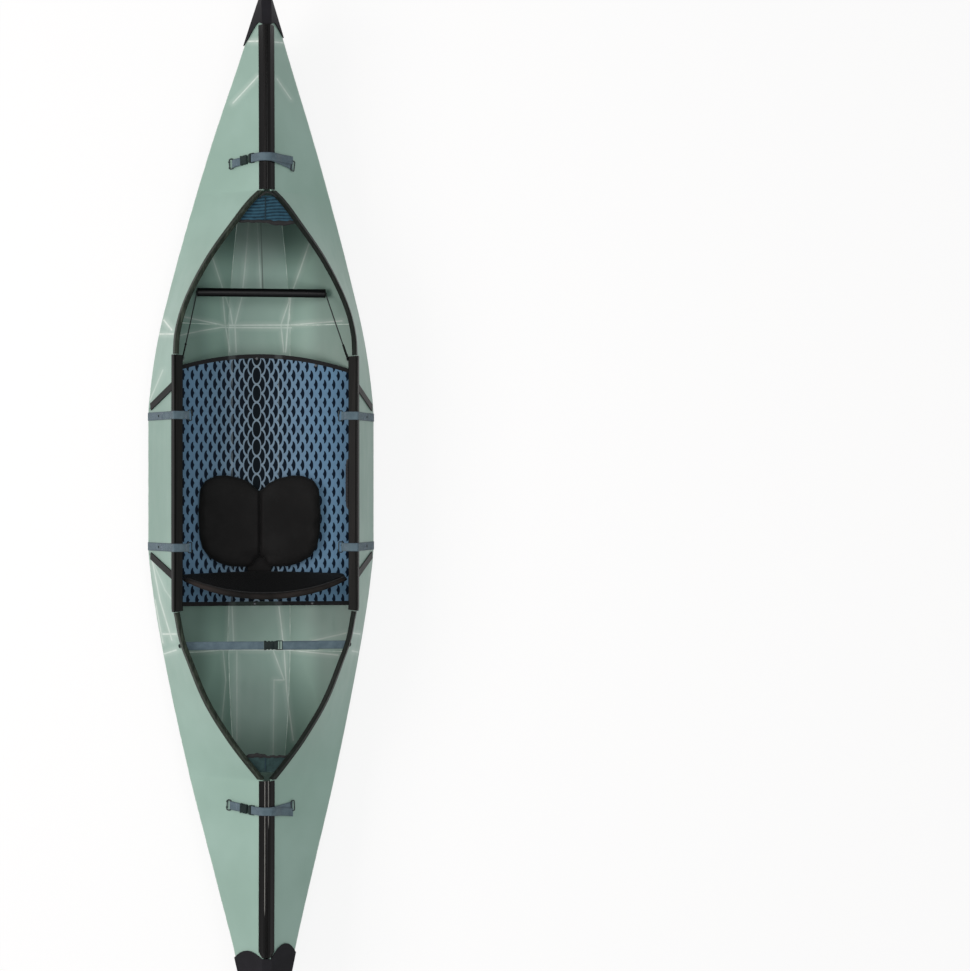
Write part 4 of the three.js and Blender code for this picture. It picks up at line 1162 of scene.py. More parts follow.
def side_strap_rivets(x, side):
    """A rivet on the flap, and a wider one under the chine"""
    rivets = bmesh.new()
    up, below = side_normal(x, side), bilge_normal(x, side)
    place = rim_point(x, side, strap_face - 0.0002, strap_rivet_down)
    turned(rivets, rivet_profile(0.0042, 0.0016), place, up, 16)
    edge = chine(x, side)
    low = edge + (keel(x, side) - edge).normalized() * 0.02 + below * strap_face
    return turned(rivets, rivet_profile(0.0055, 0.002), low, below, 16)


def side_strap_ring(x, side):
    """The ring that hangs, tilted, in the strap's inner loop"""
    y, z = strap_loop(x)
    short_way = Vector((0, side * math.cos(ring_tilt), math.sin(ring_tilt)))
    middle = Vector((x, side * y, z)) - short_way * side_ring_short
    return wire_ring(
        bmesh.new(), middle, Vector((1, 0, 0)), short_way, side_ring_half, side_ring_short,
        0.0034, 0.0017,
    )


for zone, x in side_strap_stations.items():
    for name, side in sides.items():
        node = f"{zone}_side_strap_{name}"
        strap = ribbon(
            bmesh.new(), lambda station: mirrored(side_strap_path(station, x), side), x,
            webbing_width, webbing_thickness,
        )
        finished(f"{node}_webbing", strap, "webbing", replaces=[node])
        finished(
            f"{node}_stitching", side_strap_stitching(x, side), "webbing", finish=thread_finish
        )
        finished(f"{node}_rivets", side_strap_rivets(x, side), "buckle_plastic")
        finished(
            f"{zone}_ring_{name}", side_strap_ring(x, side), "ring_metal",
            body=f"{zone}_{name}_ring", replaces=[f"{zone}_strap_ring_{name}"],
        )

# Side-release buckles. Each half is laid out along the strap, then across, then up

buckle_bar = 0.0024


def buckle_plug(form, place, length, width):
    """The half with the ladder bars, and the shoulder that its prongs stand on"""
    half = width / 2
    ladder = 0.6 * length
    bars = [
        (0, half, 0.0006, 0.0046),
        (ladder - buckle_bar, half, 0.0006, 0.0046),
        (0.46 * ladder, half - 0.001, 0.0002, 0.0034),
    ]
    for near, out, low, high in bars:
        far = near + buckle_bar
        moulding(form, [(near, -out), (far, -out), (far, out), (near, out)], low, high, place)
    for way in (1, -1):
        rows = [(0, half), (ladder, half), (ladder, half - buckle_bar), (0, half - buckle_bar)]
        moulding(form, [(a, way * b) for a, b in rows][::way], 0, 0.005, place)
    shoulder = [
        (ladder - 0.0006, -half), (ladder + 0.002, -half), (length, -half + 0.0025),
        (length, half - 0.0025), (ladder + 0.002, half), (ladder - 0.0006, half),
    ]
    moulding(form, shoulder, 0, 0.0068, place, 0.001)


def buckle_socket(form, place, length, width):
    """The half that the prongs click into, waisted where they show"""
    half = width / 2
    waist = half - 0.0042
    side_rows = [
        (0, half - 0.0025), (0.1 * length, half - 0.0006), (0.2 * length, half - 0.0008),
        (0.36 * length, waist), (0.6 * length, waist), (0.76 * length, half - 0.0012),
        (0.86 * length, half), (length, half - 0.0004),
    ]
    outline = [(a, -b) for a, b in side_rows] + [(a, b) for a, b in reversed(side_rows)]
    moulding(form, outline, 0, 0.0078, place, 0.0011, 3)
    ridge = [
        (0.14 * length, -half * 0.42), (0.3 * length, -half * 0.2), (0.68 * length, -half * 0.2),
        (0.82 * length, -half * 0.5), (0.82 * length, half * 0.5), (0.68 * length, half * 0.2),
        (0.3 * length, half * 0.2), (0.14 * length, half * 0.42),
    ]
    moulding(form, ridge, 0.007, 0.0088, place, 0.0006)
    for way in (1, -1):
        rows = [(0.3, 0.0052), (0.36, 0.0012), (0.58, 0.0006), (0.66, 0.0042)]
        prong = [(a * length, way * (half - b)) for a, b in rows]
        prong += [(0.62 * length, way * waist * 0.9), (0.32 * length, way * waist * 0.9)]
        moulding(form, prong[::-way], 0.0014, 0.0058, place, 0.0006)


# Deck straps: webbing over the channel, a buckle on the port deck and a ring at each end

tail_thickness = 0.0014
buckle_width = 0.03
buckle_lift = 0.0012
plug_span = (0.035, 0.0535)
socket_span = (0.054, 0.074)
webbing_over_channel = 0.011
deck_strap_tail = 0.08
lean_start = 0.03
end_ring_half = 0.0155
end_ring_short = 0.0065
end_ring_corner = 0.0038
end_ring_wire = 0.0019
end_ring_lift = 0.0042

# Each deck strap: its station, where its port ring lies, and how far its port end, its
# starboard end and its free end have crept along the boat
deck_straps = {
    "bow": {
        "x": 0.6675 * half_length, "ring": 0.1, "port": -0.013, "starboard": -0.018,
        "tail": -0.001,
    },
    "stern": {
        "x": -0.567 * half_length, "ring": 0.107, "port": 0.01, "starboard": 0.008,
        "tail": -0.012,
    },
}


def strap_lean(strap, y, tail=False):
    """How far a strap has crept along the boat where it lies on the deck"""
    if y > 0:
        share = max(0, (y - lean_start) / (strap["ring"] - lean_start))
        return strap["port"] * share**1.2
    return strap["tail" if tail else "starboard"] * (-y / deck_strap_tail) ** 1.5


def deck_height(x, y):
    """The height of the deck, or of its ridge under the channel"""
    edge = rim(x, 1)
    return deck_point(x, abs(y), 0).z if abs(y) > edge.y else edge.z


def leaned(form, strap, tail=False):
    """The webbing moved along the boat by its lean, and kept on the deck"""
    for vert in form.verts:
        x, y, z = vert.co
        moved = x + strap_lean(strap, y, tail)
        vert.co = moved, y, z + deck_height(moved, y) - deck_height(x, y)


def deck_frame(strap, y, lift):
    """A point on the strap with the directions along it, across it and up"""
    side = 1 if y > 0 else -1
    x = strap["x"] + strap_lean(strap, y)
    up, along = side_normal(x, side), down_side(x, side)
    step = 0.002
    drift = (strap_lean(strap, y + side * step) - strap_lean(strap, y)) / step * abs(along.y)
    along = along + Vector((drift, 0, 0))
    along = (along - up * along.dot(up)).normalized()
    return deck_point(x, y, lift), along, up.cross(along), up


def deck_strap_path(station, lift=0.0, start_y=plug_span[0] - 0.001):
    """From the plug over the channel and down the starboard deck"""
    ridge = rim(station, 1).z
    start = deck_point(station, start_y, 0.004 + lift)
    near_end = deck_point(station, deck_strap_tail - 0.038, 0.0012 + lift)
    end = deck_point(station, deck_strap_tail, 0.0012 + lift)
    top = ridge + webbing_over_channel + lift
    return [
        (start.y, start.z), (0.021, ridge + 0.003 + lift), (0.011, top), (-0.011, top),
        (-0.027, ridge - 0.002 + lift), (-near_end.y, near_end.z), (-end.y, end.z),
    ]


def end_fold_path(station, ring_y):
    """Webbing from the socket round the inner bar of the ring, and back under itself"""

    def spot(y, lift):
        place = deck_point(station, y, lift)
        return place.y, place.z

    turn_y = ring_y - end_ring_short
    return [
        spot(socket_span[1] - 0.002, 0.0034), spot(socket_span[1] + 0.006, 0.0052),
        spot(turn_y - 0.003, 0.0068), spot(turn_y + 0.0022, 0.006), spot(turn_y + 0.0026, 0.0034),
        spot(turn_y - 0.002, 0.0024), spot(socket_span[1] + 0.004, 0.0012),
    ][::-1]


def deck_strap_webbing(zone, strap):
    x, body = strap["x"], f"{zone}_strap"
    band = ribbon(bmesh.new(), deck_strap_path, x, webbing_width, webbing_thickness)
    leaned(band, strap)
    finished(f"{zone}_strap_band", band, "webbing", body, [f"{zone}_strap_webbing"])
    free = ribbon(
        bmesh.new(), lambda station: deck_strap_path(station, 0.0026, 0.041), x,
        webbing_width, tail_thickness,
    )
    leaned(free, strap, tail=True)
    finished(f"{zone}_strap_free_end", free, "webbing", body)
    fold = ribbon(
        bmesh.new(), lambda station: end_fold_path(station, strap["ring"]), x,
        webbing_width, tail_thickness, radius=0.003,
    )
    leaned(fold, strap)
    finished(f"{zone}_strap_end_fold", fold, "webbing")
    thread = bmesh.new()
    middle, along, across, up = deck_frame(strap, socket_span[1] + 0.0125, 0.0068)
    crossed_box(thread, middle, along, across, up, 0.0045, 0.0095)
    finished(f"{zone}_strap_end_stitching", thread, "webbing", finish=thread_finish)


def deck_strap_buckle(zone, strap):
    plug, socket = bmesh.new(), bmesh.new()
    plug_place = axes(*deck_frame(strap, plug_span[0], buckle_lift))
    buckle_plug(plug, plug_place, plug_span[1] - plug_span[0] + 0.002, buckle_width)
    finished(
        f"{zone}_buckle_plug", plug, "buckle_plastic", f"{zone}_strap", [f"{zone}_strap_plug"]
    )
    socket_place = axes(*deck_frame(strap, socket_span[0], buckle_lift))
    buckle_socket(socket, socket_place, 1.32 * (socket_span[1] - socket_span[0]), buckle_width)
    finished(f"{zone}_buckle_socket", socket, "buckle_plastic", replaces=[f"{zone}_strap_socket"])


def deck_strap_rings(zone, strap):
    """A ring at each end, and two eyes that hold the port one to the deck"""
    ends = (
        ("port", strap["ring"], "hull", -9),
        ("starboard", -deck_strap_tail, f"{zone}_strap", -6),
    )
    for name, y, body, tilt in ends:
        middle, along, across, up = deck_frame(strap, y, end_ring_lift)
        short_way = Matrix.Rotation(math.radians(tilt), 3, across) @ along
        ring = wire_ring(
            bmesh.new(), middle, across, short_way, end_ring_half, end_ring_short,
            end_ring_corner, end_ring_wire,
        )
        finished(f"{zone}_strap_ring_{name}", ring, "ring_metal", body)
    eyes = bmesh.new()
    for way in (1, -1):
        place, along, across, up = deck_frame(strap, strap["ring"] + end_ring_short + 0.0015, 0)
        turned(eyes, rivet_profile(0.0036, 0.0026), place + across * (way * 0.009), up, 14)
    finished(f"{zone}_strap_ring_eyes", eyes, "buckle_plastic")


for zone, strap in deck_straps.items():
    deck_strap_webbing(zone, strap)
    deck_strap_buckle(zone, strap)
    deck_strap_rings(zone, strap)

# Cockpit strap: two halves from buttons through the deck, under the coaming, to a buckle

cockpit_x = -0.257 * half_length
cockpit_plug_span = (-0.052, -0.026)
cockpit_socket_span = (-0.0255, 0.004)
cockpit_buckle_width = 0.029
cockpit_anchor_down = 0.038
cockpit_sag = 0.005
cockpit_button_drop = 0.016
cockpit_tail_shift = 0.0015
wall_gap = 0.0011
cockpit_buckle_z = rim(cockpit_x, 1).z - cockpit_anchor_down + 0.004


def cockpit_path(side, end_y, lift=0.0, first=0.0):
    """From the wall of the hull to the buckle, sagging a little on its way"""
    anchor_x = cockpit_x - webbing_width / 2
    anchor = rim_point(anchor_x, 1, -sheet_thickness - wall_gap, cockpit_anchor_down)
    end = (side * end_y, cockpit_buckle_z)
    path = []
    for share in spaced(first, 1, 8):
        sag = cockpit_sag * 4 * share * (1 - share)
        y = anchor.y + (end[0] - anchor.y) * share
        path.append((y, anchor.z + (end[1] - anchor.z) * share - sag + lift))
    return mirrored(path, side)


cockpit_ends = (
    ("port", cockpit_socket_span[1] + 0.0005, "hull"),
    ("starboard", cockpit_plug_span[0] - 0.0005, "cockpit_strap"),
)
for name, end_y, body in cockpit_ends:
    side = sides[name]
    path = cockpit_path(side, end_y)
    webbing = ribbon(
        bmesh.new(), lambda station: path, cockpit_x, webbing_width, webbing_thickness
    )
    finished(f"cockpit_band_{name}", webbing, "webbing", body, [f"cockpit_strap_{name}"])
    button = bmesh.new()
    up = side_normal(cockpit_x, side)
    outer = rim_point(cockpit_x, side, 0.0001, cockpit_anchor_down)
    turned(button, rivet_profile(0.0068, 0.0036), outer, up, 24)
    inner_down = cockpit_anchor_down - cockpit_button_drop
    inner = rim_point(cockpit_x, side, -sheet_thickness - 0.0001, inner_down)
    turned(button, rivet_profile(0.0055, 0.0008), inner, -up, 20)
    finished(f"cockpit_button_{name}", button, "buckle_plastic")

tail_path = cockpit_path(-1, cockpit_plug_span[0] - 0.0005, 0.0024, 0.44)
tail = ribbon(
    bmesh.new(), lambda station: tail_path, cockpit_x - cockpit_tail_shift, webbing_width,
    tail_thickness,
)
finished("cockpit_band_free_end", tail, "webbing", "cockpit_strap")
plug, socket = bmesh.new(), bmesh.new()
along, up = Vector((0, 1, 0)), Vector((0, 0, 1))
buckle_low = cockpit_buckle_z - 0.0035
plug_start = Vector((cockpit_x, cockpit_plug_span[0] - 0.001, buckle_low))
buckle_plug(plug, axes(plug_start, along, up.cross(along), up), 0.028, cockpit_buckle_width)
finished("cockpit_buckle_plug", plug, "buckle_plastic", "cockpit_strap", ["cockpit_strap_plug"])
socket_start = Vector((cockpit_x, cockpit_socket_span[0], buckle_low))
socket_length = cockpit_socket_span[1] - cockpit_socket_span[0]
buckle_socket(
    socket, axes(socket_start, along, up.cross(along), up), socket_length, cockpit_buckle_width
)
finished("cockpit_buckle_socket", socket, "buckle_plastic", replaces=["cockpit_strap_socket"])

# Nets in the two points of the cockpit: rippled stretch mesh, an elastic hem and a middle seam

net_drop = 0.012
net_sheet = 0.0009
net_grid = 0.0024
net_dip = 0.0015
seam_y = 0.004
seam_lift = 0.0008

# Each net: the stations of its base and tip, the height of its ripples, how far in from the
# rim it is held, the radius of its hem, and the side on which the hem hangs slack
nets = {
    "front": {
        "base": 0.877, "tip": 0.952, "ripple": 0.0009, "inset": 0.006, "hem": 0.0042,
        "slack": -1,
    },
    "rear": {
        "base": -0.746, "tip": -0.791, "ripple": 0.0002, "inset": 0.0053, "hem": 0.0036,
        "slack": 1,
    },
}
for net in nets.values():
    net["way"] = 1 if net["tip"] > net["base"] else -1
    net["half"] = abs(rim(net["base"], 1).y) - net["inset"]


def on_net(net, x, y, lift):
    """A point on the plane between the base of a net and its tip"""
    low, high = rim(net["base"], 1).z - net_drop, rim(net["tip"], 1).z - net_drop
    share = (x - net["base"]) / (net["tip"] - net["base"])
    return Vector((x, y, low + (high - low) * share + lift))


def cut_net(net):
    """A fine flat grid, cut to the point of the cockpit"""
    mesh = bmesh.new()
    base, tip, way = net["base"], net["tip"], net["way"]
    reach = net["half"] + abs(tip - base)
    count = round(2 * reach / net_grid)
    bmesh.ops.create_grid(mesh, x_segments=count, y_segments=count, size=reach)
    bmesh.ops.translate(mesh, verts=mesh.verts[:], vec=(base, 0, 0))
    edge = [Vector((x, abs(rim(x, 1).y) - net["inset"], 0)) for x in spaced(base, tip, 4)]
    cuts = [((base, 0, 0), (-way, 0, 0)), ((tip, 0, 0), (way, 0, 0))]
    for near, far in zip(edge, edge[1:]):
        for side in sides.values():
            start = Vector((near.x, side * near.y, 0))
            normal = (Vector((far.x, side * far.y, 0)) - start).cross(Vector((0, 0, 1)))
            cuts.append((start, normal * (1 if normal.y * side > 0 else -1)))
    for spot, normal in cuts:
        bmesh.ops.bisect_plane(
            mesh, geom=mesh.verts[:] + mesh.edges[:] + mesh.faces[:], plane_co=spot,
            plane_no=normal, clear_outer=True,
        )
    return mesh


def gathered_net(mesh, net):
    """The cut net hung in its plane, rippled where it isn't held, and given its thickness"""
    for vert in mesh.verts:
        x, y, z = vert.co
        held = min(1, abs(y) / net["half"])
        wave = math.sin((x + ripple_drift(y)) * full_turn / ripple_pitch)
        lift = net["ripple"] * wave * (1 - held**4) - net_dip * (1 - held)
        vert.co = on_net(net, x, y, lift)
    bmesh.ops.recalc_face_normals(mesh, faces=mesh.faces[:])
    bmesh.ops.solidify(mesh, geom=mesh.faces[:], thickness=net_sheet)
    return mesh


def net_hem(net):
    """An elastic edge that bunches up where it hangs slack"""
    base, way, half = net["base"], net["way"], net["half"]
    frames = []
    for y in spaced(-half - 0.002, half + 0.002, 36):
        slack = max(0, math.sin(math.pi * y / half * net["slack"])) ** 0.7
        bunch = 0.0025 * slack + 0.0006 * math.sin(5.3 * math.pi * y / half)
        middle = on_net(net, base - way * (0.0015 + bunch * 1.6), y, 0.0004 - bunch * 0.5)
        size = 1 + 0.85 * slack + 0.12 * math.sin(9.1 * math.pi * y / half)
        frames.append((middle, Vector((way * size, 0, 0)), Vector((0, 0, size))))
    return sweep(bmesh.new(), circle(net["hem"], 12, 0.5), frames)


def net_seam(net):
    start, end = net["base"] + net["way"] * 0.002, net["tip"] - net["way"] * 0.004
    line = [on_net(net, x, seam_y, seam_lift) for x in spaced(start, end, 12)]
    return sweep(bmesh.new(), strap_section(0.0034, 0.0016), frames_along(line, (0, 0, 1)))


for zone, net in nets.items():
    mesh = cut_net(net)
    net_area = sum(face.calc_area() for face in mesh.faces)
    piece = finished(
        f"{zone}_net_mesh", gathered_net(mesh, net), "net_fabric", replaces=[f"{zone}_net"],
        sharp=70, finish=net_yarns[zone],
    )
    hem = finished(f"{zone}_net_hem", net_hem(net), "cord_fabric", finish=elastic)
    seam = finished(f"{zone}_net_seam", net_seam(net), "net_fabric", finish=seam_thread)

# The cord that gathers the front net at its point, tied between the coamings

gather_lift = 0.0012
gather_spots = [
    (0.945, 0.0225), (0.952, 0.0157), (0.9595, 0.006), (0.9618, -0.002), (0.9592, -0.0125),
    (0.9535, -0.0226), (0.947, -0.0285),
]
line = [Vector((x, y, rim(x, 1).z + gather_lift)) for x, y in gather_spots]
gather = sweep(bmesh.new(), circle(0.0024, 10), frames_along(line, (0, 0, 1)))
finished("front_net_gather", gather, "cord_fabric", finish=elastic)

# Seat pad: two crowned foam lobes joined by a sewn seam, and a tongue to the backrest

floor_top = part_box("floorboard")[1][2]
seat_middle_x = -0.035
seat_half_length = 0.144
seat_half_width = 0.19
seat_height = 0.034
pad_lift = 0.0004
seat_outline_shares = [
    [0.674, 0], [0.715, 0.047], [0.847, 0.158], [0.944, 0.325], [0.993, 0.551],
    [0.972, 0.718], [0.861, 0.89], [0.68, 0.974], [0.194, 1], [-0.25, 0.987],
    [-0.549, 0.942], [-0.757, 0.832], [-0.889, 0.665], [-0.965, 0.492], [-0.986, 0.24],
    [-0.95, 0.13], [-0.8, 0.073], [-0.77, 0],
]
seat_shift_to_port = 0.006
seat_shoulder = 0.012
seat_voxel = 0.005
seat_swell_cap = 0.006
seam_half_width = 0.009
seam_depth = 0.013
seat_crown = 0.003
swell = 0.0025


def seat_pad():
    """Foam cut to its outline, swollen in its cloth, and drawn down along the middle seam"""
    form = bmesh.new()
    length, width = seat_half_length - swell, seat_half_width - swell
    half = [(seat_middle_x + a * length, b * width) for a, b in seat_outline_shares]
    outline = half + [(x, -y) for x, y in reversed(half[1:-1])]
    outline = [(x, y + seat_shift_to_port) for x, y in outline]
    low = floor_top + pad_lift
    face = form.faces.new([form.verts.new((x, y, low)) for x, y in outline])
    grown = bmesh.ops.extrude_face_region(form, geom=[face])["geom"]
    tops = [item for item in grown if isinstance(item, bmesh.types.BMVert)]
    bmesh.ops.translate(form, verts=tops, vec=(0, 0, seat_height - swell))
    top = next(item for item in grown if isinstance(item, bmesh.types.BMFace))
    bmesh.ops.bevel(
        form, geom=list(top.edges), offset=seat_shoulder, offset_type="OFFSET", segments=3,
        profile=0.5, affect="EDGES", material=-1, clamp_overlap=True,
    )
    bmesh.ops.recalc_face_normals(form, faces=form.faces[:])
    form = fitted(swollen(form, seat_voxel, seat_swell_cap), *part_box("seat_pad"))
    for vert in form.verts:
        height = (vert.co.z - low) / seat_height
        near = max(0, 1 - abs(vert.co.y - seat_shift_to_port) / seam_half_width)
        vert.co.z -= seam_depth * near**1.5 * min(1, max(0, height))
        vert.co.z = max(vert.co.z, low)
        vert.co.z = min(vert.co.z, low + seat_height + seat_crown)
    return form


pad = finished("seat_cushion", seat_pad(), "pad_fabric", replaces=["seat_pad"], sharp=80)

tongue_top = floor_top + 0.009
tongue_outline = [
    (-0.205, -0.03), (-0.15, -0.034), (-0.146, -0.022), (-0.142, 0.006), (-0.146, 0.034),
    (-0.15, 0.046), (-0.205, 0.042),
]
tongue = moulding(
    bmesh.new(), tongue_outline, floor_top + pad_lift, tongue_top, Matrix.Identity(4), 0.003, 3
)
finished("seat_tongue", tongue, "pad_fabric")

# Backrest: a padded shell, bowed across and leaned back, with a rolled top edge

backrest_half_width = 0.25
backrest_thickness = 0.013
backrest_bottom_x = -0.191
backrest_lean = 0.066
backrest_tip_forward = 0.052
backrest_bottom_z = floor_top + 0.02
backrest_top_z = rim(backrest_bottom_x, 1).z + 0.008
backrest_voxel = 0.0055
backrest_swell_cap = 0.003
roll_radius = 0.0085
roll_reach = 0.97
piping_reach = 0.95
piping_lift = 0.0012


def backrest_surface(across, height):
    """A point on the front face, from -1 to 1 across and from 0 to 1 up"""
    tip = across * across
    low = backrest_bottom_z + 0.084 * tip**1.5
    high = backrest_top_z - 0.028 * tip**2
    z = low + (high - low) * height
    rise = (z - backrest_bottom_z) / (backrest_top_z - backrest_bottom_z)
    lean = backrest_lean * rise**1.2 - backrest_tip_forward * tip * rise
    return Vector((backrest_bottom_x - lean, across * backrest_half_width, z))


def backrest_pad():
    form = bmesh.new()
    bmesh.ops.create_grid(form, x_segments=48, y_segments=14, size=1)
    for vert in form.verts:
        across, height = vert.co.x, (vert.co.y + 1) / 2
        vert.co = backrest_surface(across * 0.985, 0.02 + 0.96 * height)
        vert.co.x -= 0.002
    bmesh.ops.recalc_face_normals(form, faces=form.faces[:])
    if sum(face.normal.x for face in form.faces) < 0:
        bmesh.ops.reverse_faces(form, faces=form.faces[:])
    bmesh.ops.solidify(form, geom=form.faces[:], thickness=backrest_thickness - 0.004)
    bmesh.ops.recalc_face_normals(form, faces=form.faces[:])
    return fitted(swollen(form, backrest_voxel, backrest_swell_cap), *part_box("backrest"))


def rolled_edge():
    """The top edge, thick in the middle and thinned out at its two ends"""
    behind = Vector((backrest_thickness / 2, 0, 0.002))
    spots = spaced(-roll_reach, roll_reach, 40)
    line = [backrest_surface(across, 0.972) - behind for across in spots]
    tapered = []
    for (middle, across, up), spot in zip(frames_along(line, (0, 0, 1)), spots):
        size = math.sqrt(max(0.02, 1 - abs(spot) ** 6))
        tapered.append((middle, across * size, up * size))
    return sweep(bmesh.new(), circle(roll_radius, 14, 0.8), tapered)


def piping():
    """The cord sewn in along the face, just under the rolled edge"""
    ahead = Vector((piping_lift, 0, 0))
    spots = spaced(-piping_reach, piping_reach, 50)
    line = [backrest_surface(across, 0.93) + ahead for across in spots]
    return sweep(bmesh.new(), circle(0.0016, 8), frames_along(line, (0, 0, 1)))


back = finished(
    "backrest_pad", backrest_pad(), "pad_fabric", "backrest", ["backrest"], 80, finish=shaded_back_cloth
)
finished("backrest_rolled_edge", rolled_edge(), "pad_fabric", "backrest", finish=lit_rolled_cloth)
finished("backrest_piping", piping(), "pad_fabric", "backrest", finish=elastic)

# Footrest: end plugs, cords to the perforated adjusters, their knots and their hooks

footrest_x = 0.4231 * half_length
footrest_half_length = 0.5657 * half_beam
footrest_z = keel(footrest_x, 1).z + 0.29 * ridge_height
rail_front_x = 0.471
adjuster_x = rail_front_x - 0.009
adjuster_length = 0.06
adjuster_thickness = 0.003
adjuster_in = 0.0195
adjuster_down = 0.0115
cord_radius = 0.0019
cord_sag = 0.0018
plug_radius = 0.0135
knot_profile = [
    (0, 0.0042), (0.0026, 0.0034), (0.0036, 0.001), (0.0034, -0.0014), (0.002, -0.0038),
    (0, -0.0044),
]
plug_profile = [
    (0, 0.0022), (plug_radius * 0.8, 0.0022), (plug_radius + 0.0004, 0.0012),
    (plug_radius + 0.0004, -0.0016), (0, -0.0016),
]


def footrest_cord(name, side, line):
    cord = sweep(bmesh.new(), circle(cord_radius, 10), frames_along(line, (0, side, 0.2)))
    piece = finished(
        f"footrest_line_{name}", cord, "cord_fabric", "footrest", [f"footrest_cord_{name}"], 80
    )
    length = sum((b - a).length for a, b in zip(line, line[1:]))


for name, side in sides.items():
    top_rim = rim(adjuster_x, 1)
    top = Vector((adjuster_x, side * (top_rim.y - adjuster_in), top_rim.z - adjuster_down))
    bar_end = Vector((footrest_x, side * (footrest_half_length + 0.0022), footrest_z))
    way = (bar_end - top).normalized()
    flat = way.cross(Vector((0, -side, 0))).normalized()
    face = flat.cross(way).normalized()
    half_face = face * (adjuster_thickness / 2)
    start = top + way * (adjuster_length + 0.0004) + half_face
    drop = Vector((0, 0, -cord_sag))
    line = [
        bar_end.lerp(start, share) + drop * 4 * share * (1 - share) for share in spaced(0, 1, 20)
    ]
    footrest_cord(name, side, line)
    knots = bmesh.new()
    for place in (line[0], line[-1]):
        turned(knots, knot_profile, place, way, 12)
    finished(f"footrest_knots_{name}", knots, "cord_fabric", "footrest")
    bar_face = (footrest_x, side * footrest_half_length, footrest_z)
    plug = turned(bmesh.new(), plug_profile, bar_face, (0, side, 0), 28)
    finished(f"footrest_end_plug_{name}", plug, "trim_plastic", "footrest")
    hook_middle = top + half_face - way * 0.002
    hook = wire_ring(bmesh.new(), hook_middle, way, face, 0.009, 0.0042, 0.0038, 0.0011)
    finished(f"adjuster_hook_{name}", hook, "ring_metal", finish=bright_wire)

# Snaps on the floorboard bindings

snap_z = floor_top + 0.0014
snap_spots = ((0.472, 0.014), (0.452, -0.171), (-0.2925, 0.02), (-0.2925, -0.16))
snaps = bmesh.new()
for x, y in snap_spots:
    turned(snaps, rivet_profile(0.0052, 0.0016), (x, y, snap_z), (0, 0, 1), 18)
finished("floorboard_snaps", snaps, "ring_metal", finish=dull_snap)

# Carry handle: a braided grip that narrows to its two anchors

handle_x = 0.081
handle_half = 0.076
handle_drop = 0.052
handle_radius = 0.0075
handle_y = 0.016 - rim(handle_x, 1).y
handle_top = rim_point(handle_x, -1, -0.016, 0.0041).z
handle_points = [
    (-1, 0), (-0.934, -0.6), (-0.658, -1), (0, -1.058), (0.658, -1), (0.934, -0.6), (1, 0),
]
handle_bend = 0.02
handle_end_share = 0.4
handle_end_length = 0.012
handle_taper_length = 0.018


def braided_handle():
    corners = [
        (handle_x + a * handle_half, handle_y, handle_top + b * handle_drop)
        for a, b in handle_points
    ]
    line = rounded(corners, handle_bend, 6)
    reach = [0]
    for before, after in zip(line, line[1:]):
        reach.append(reach[-1] + (after - before).length)
    frames = []
    for (middle, across, up), run in zip(frames_along(line, (0, 1, 0)), reach):
        near = min(run, reach[-1] - run)
        full = min(1, max(0, (near - handle_end_length) / handle_taper_length))
        size = handle_end_share + (1 - handle_end_share) * full
        frames.append((middle, across * size, up * size))
    return sweep(bmesh.new(), circle(handle_radius, 14), frames)


finished("carry_grip", braided_handle(), "grip_fabric", "carry_handle", ["carry_handle"], 80)

# Surroundings: a window to port, a soft light overhead, a pale floor and a white world

world_level = 0.38
floor_half = 40
floor_grey = (0.93, 0.93, 0.93, 1)
floor_roughness = 0.9
floor_glow = 0.85
white = (1, 1, 1, 1)
aim_camera()
soft_light("window", (0.4, 4.6, 4.8), (0, 0, 0.2), (5, 3), 258, (1, 0.9, 0.89))
soft_light("overhead", (0.2, 0, 6), (0.2, 0, 0), (5, 2), 120)


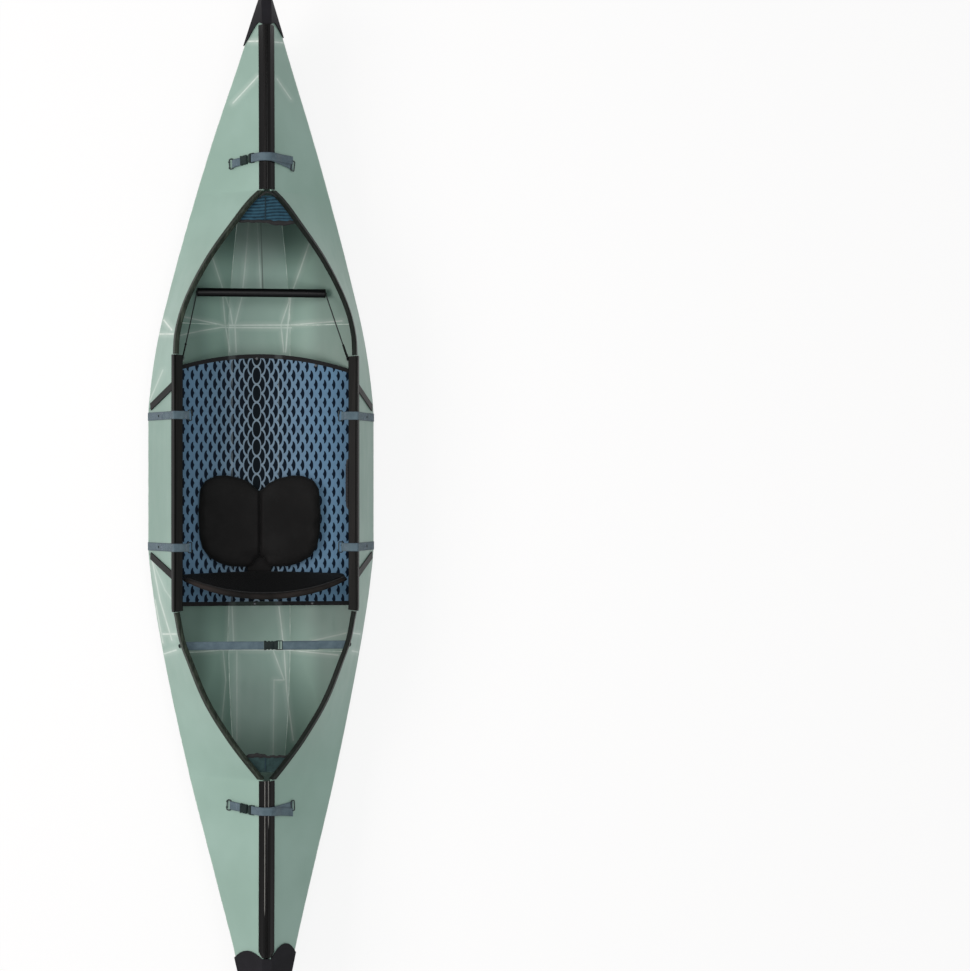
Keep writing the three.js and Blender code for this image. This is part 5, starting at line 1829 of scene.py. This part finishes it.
def seen_directly(tree):
    """1 for what the camera sees, straight, in a gloss or through glass"""
    path = tree.nodes.new("ShaderNodeLightPath")
    total = path.outputs["Is Camera Ray"]
    for name in ("Is Glossy Ray", "Is Transmission Ray"):
        either = tree.nodes.new("ShaderNodeMath")
        either.operation = "MAXIMUM"
        tree.links.new(total, either.inputs[0])
        tree.links.new(path.outputs[name], either.inputs[1])
        total = either.outputs[0]
    return total


def pale_world():
    """White to the camera and in a gloss, dimmer as light on the kayak"""
    world = bpy.data.worlds.new("studio")
    bpy.context.scene.world = world
    world.use_nodes = True
    tree = world.node_tree
    background = tree.nodes["Background"]
    background.inputs["Color"].default_value = white
    level = tree.nodes.new("ShaderNodeMix")
    level.inputs[2].default_value = world_level
    level.inputs[3].default_value = 1.0
    tree.links.new(seen_directly(tree), level.inputs[0])
    tree.links.new(level.outputs[0], background.inputs["Strength"])


def pale_floor():
    """A floor that glows white to the camera, and still takes the shadow"""
    body = bmesh.new()
    bmesh.ops.create_grid(body, x_segments=1, y_segments=1, size=floor_half)
    mesh = bpy.data.meshes.new("floor")
    body.to_mesh(mesh)
    body.free()
    floor = bpy.data.objects.new("floor", mesh)
    bpy.context.scene.collection.objects.link(floor)
    cover = bpy.data.materials.new("pale_floor")
    cover.use_nodes = True
    tree = cover.node_tree
    diffuse = tree.nodes["Principled BSDF"]
    diffuse.inputs["Base Color"].default_value = floor_grey
    diffuse.inputs["Roughness"].default_value = floor_roughness
    glow = tree.nodes.new("ShaderNodeEmission")
    glow.inputs["Color"].default_value = white
    share = tree.nodes.new("ShaderNodeMath")
    share.operation = "MULTIPLY"
    share.inputs[1].default_value = floor_glow
    both = tree.nodes.new("ShaderNodeMixShader")
    tree.links.new(seen_directly(tree), share.inputs[0])
    tree.links.new(share.outputs[0], both.inputs[0])
    tree.links.new(diffuse.outputs[0], both.inputs[1])
    tree.links.new(glow.outputs[0], both.inputs[2])
    tree.links.new(both.outputs[0], tree.nodes["Material Output"].inputs[0])
    mesh.materials.append(cover)


pale_world()
pale_floor()
bpy.context.scene.view_settings.view_transform = "Standard"
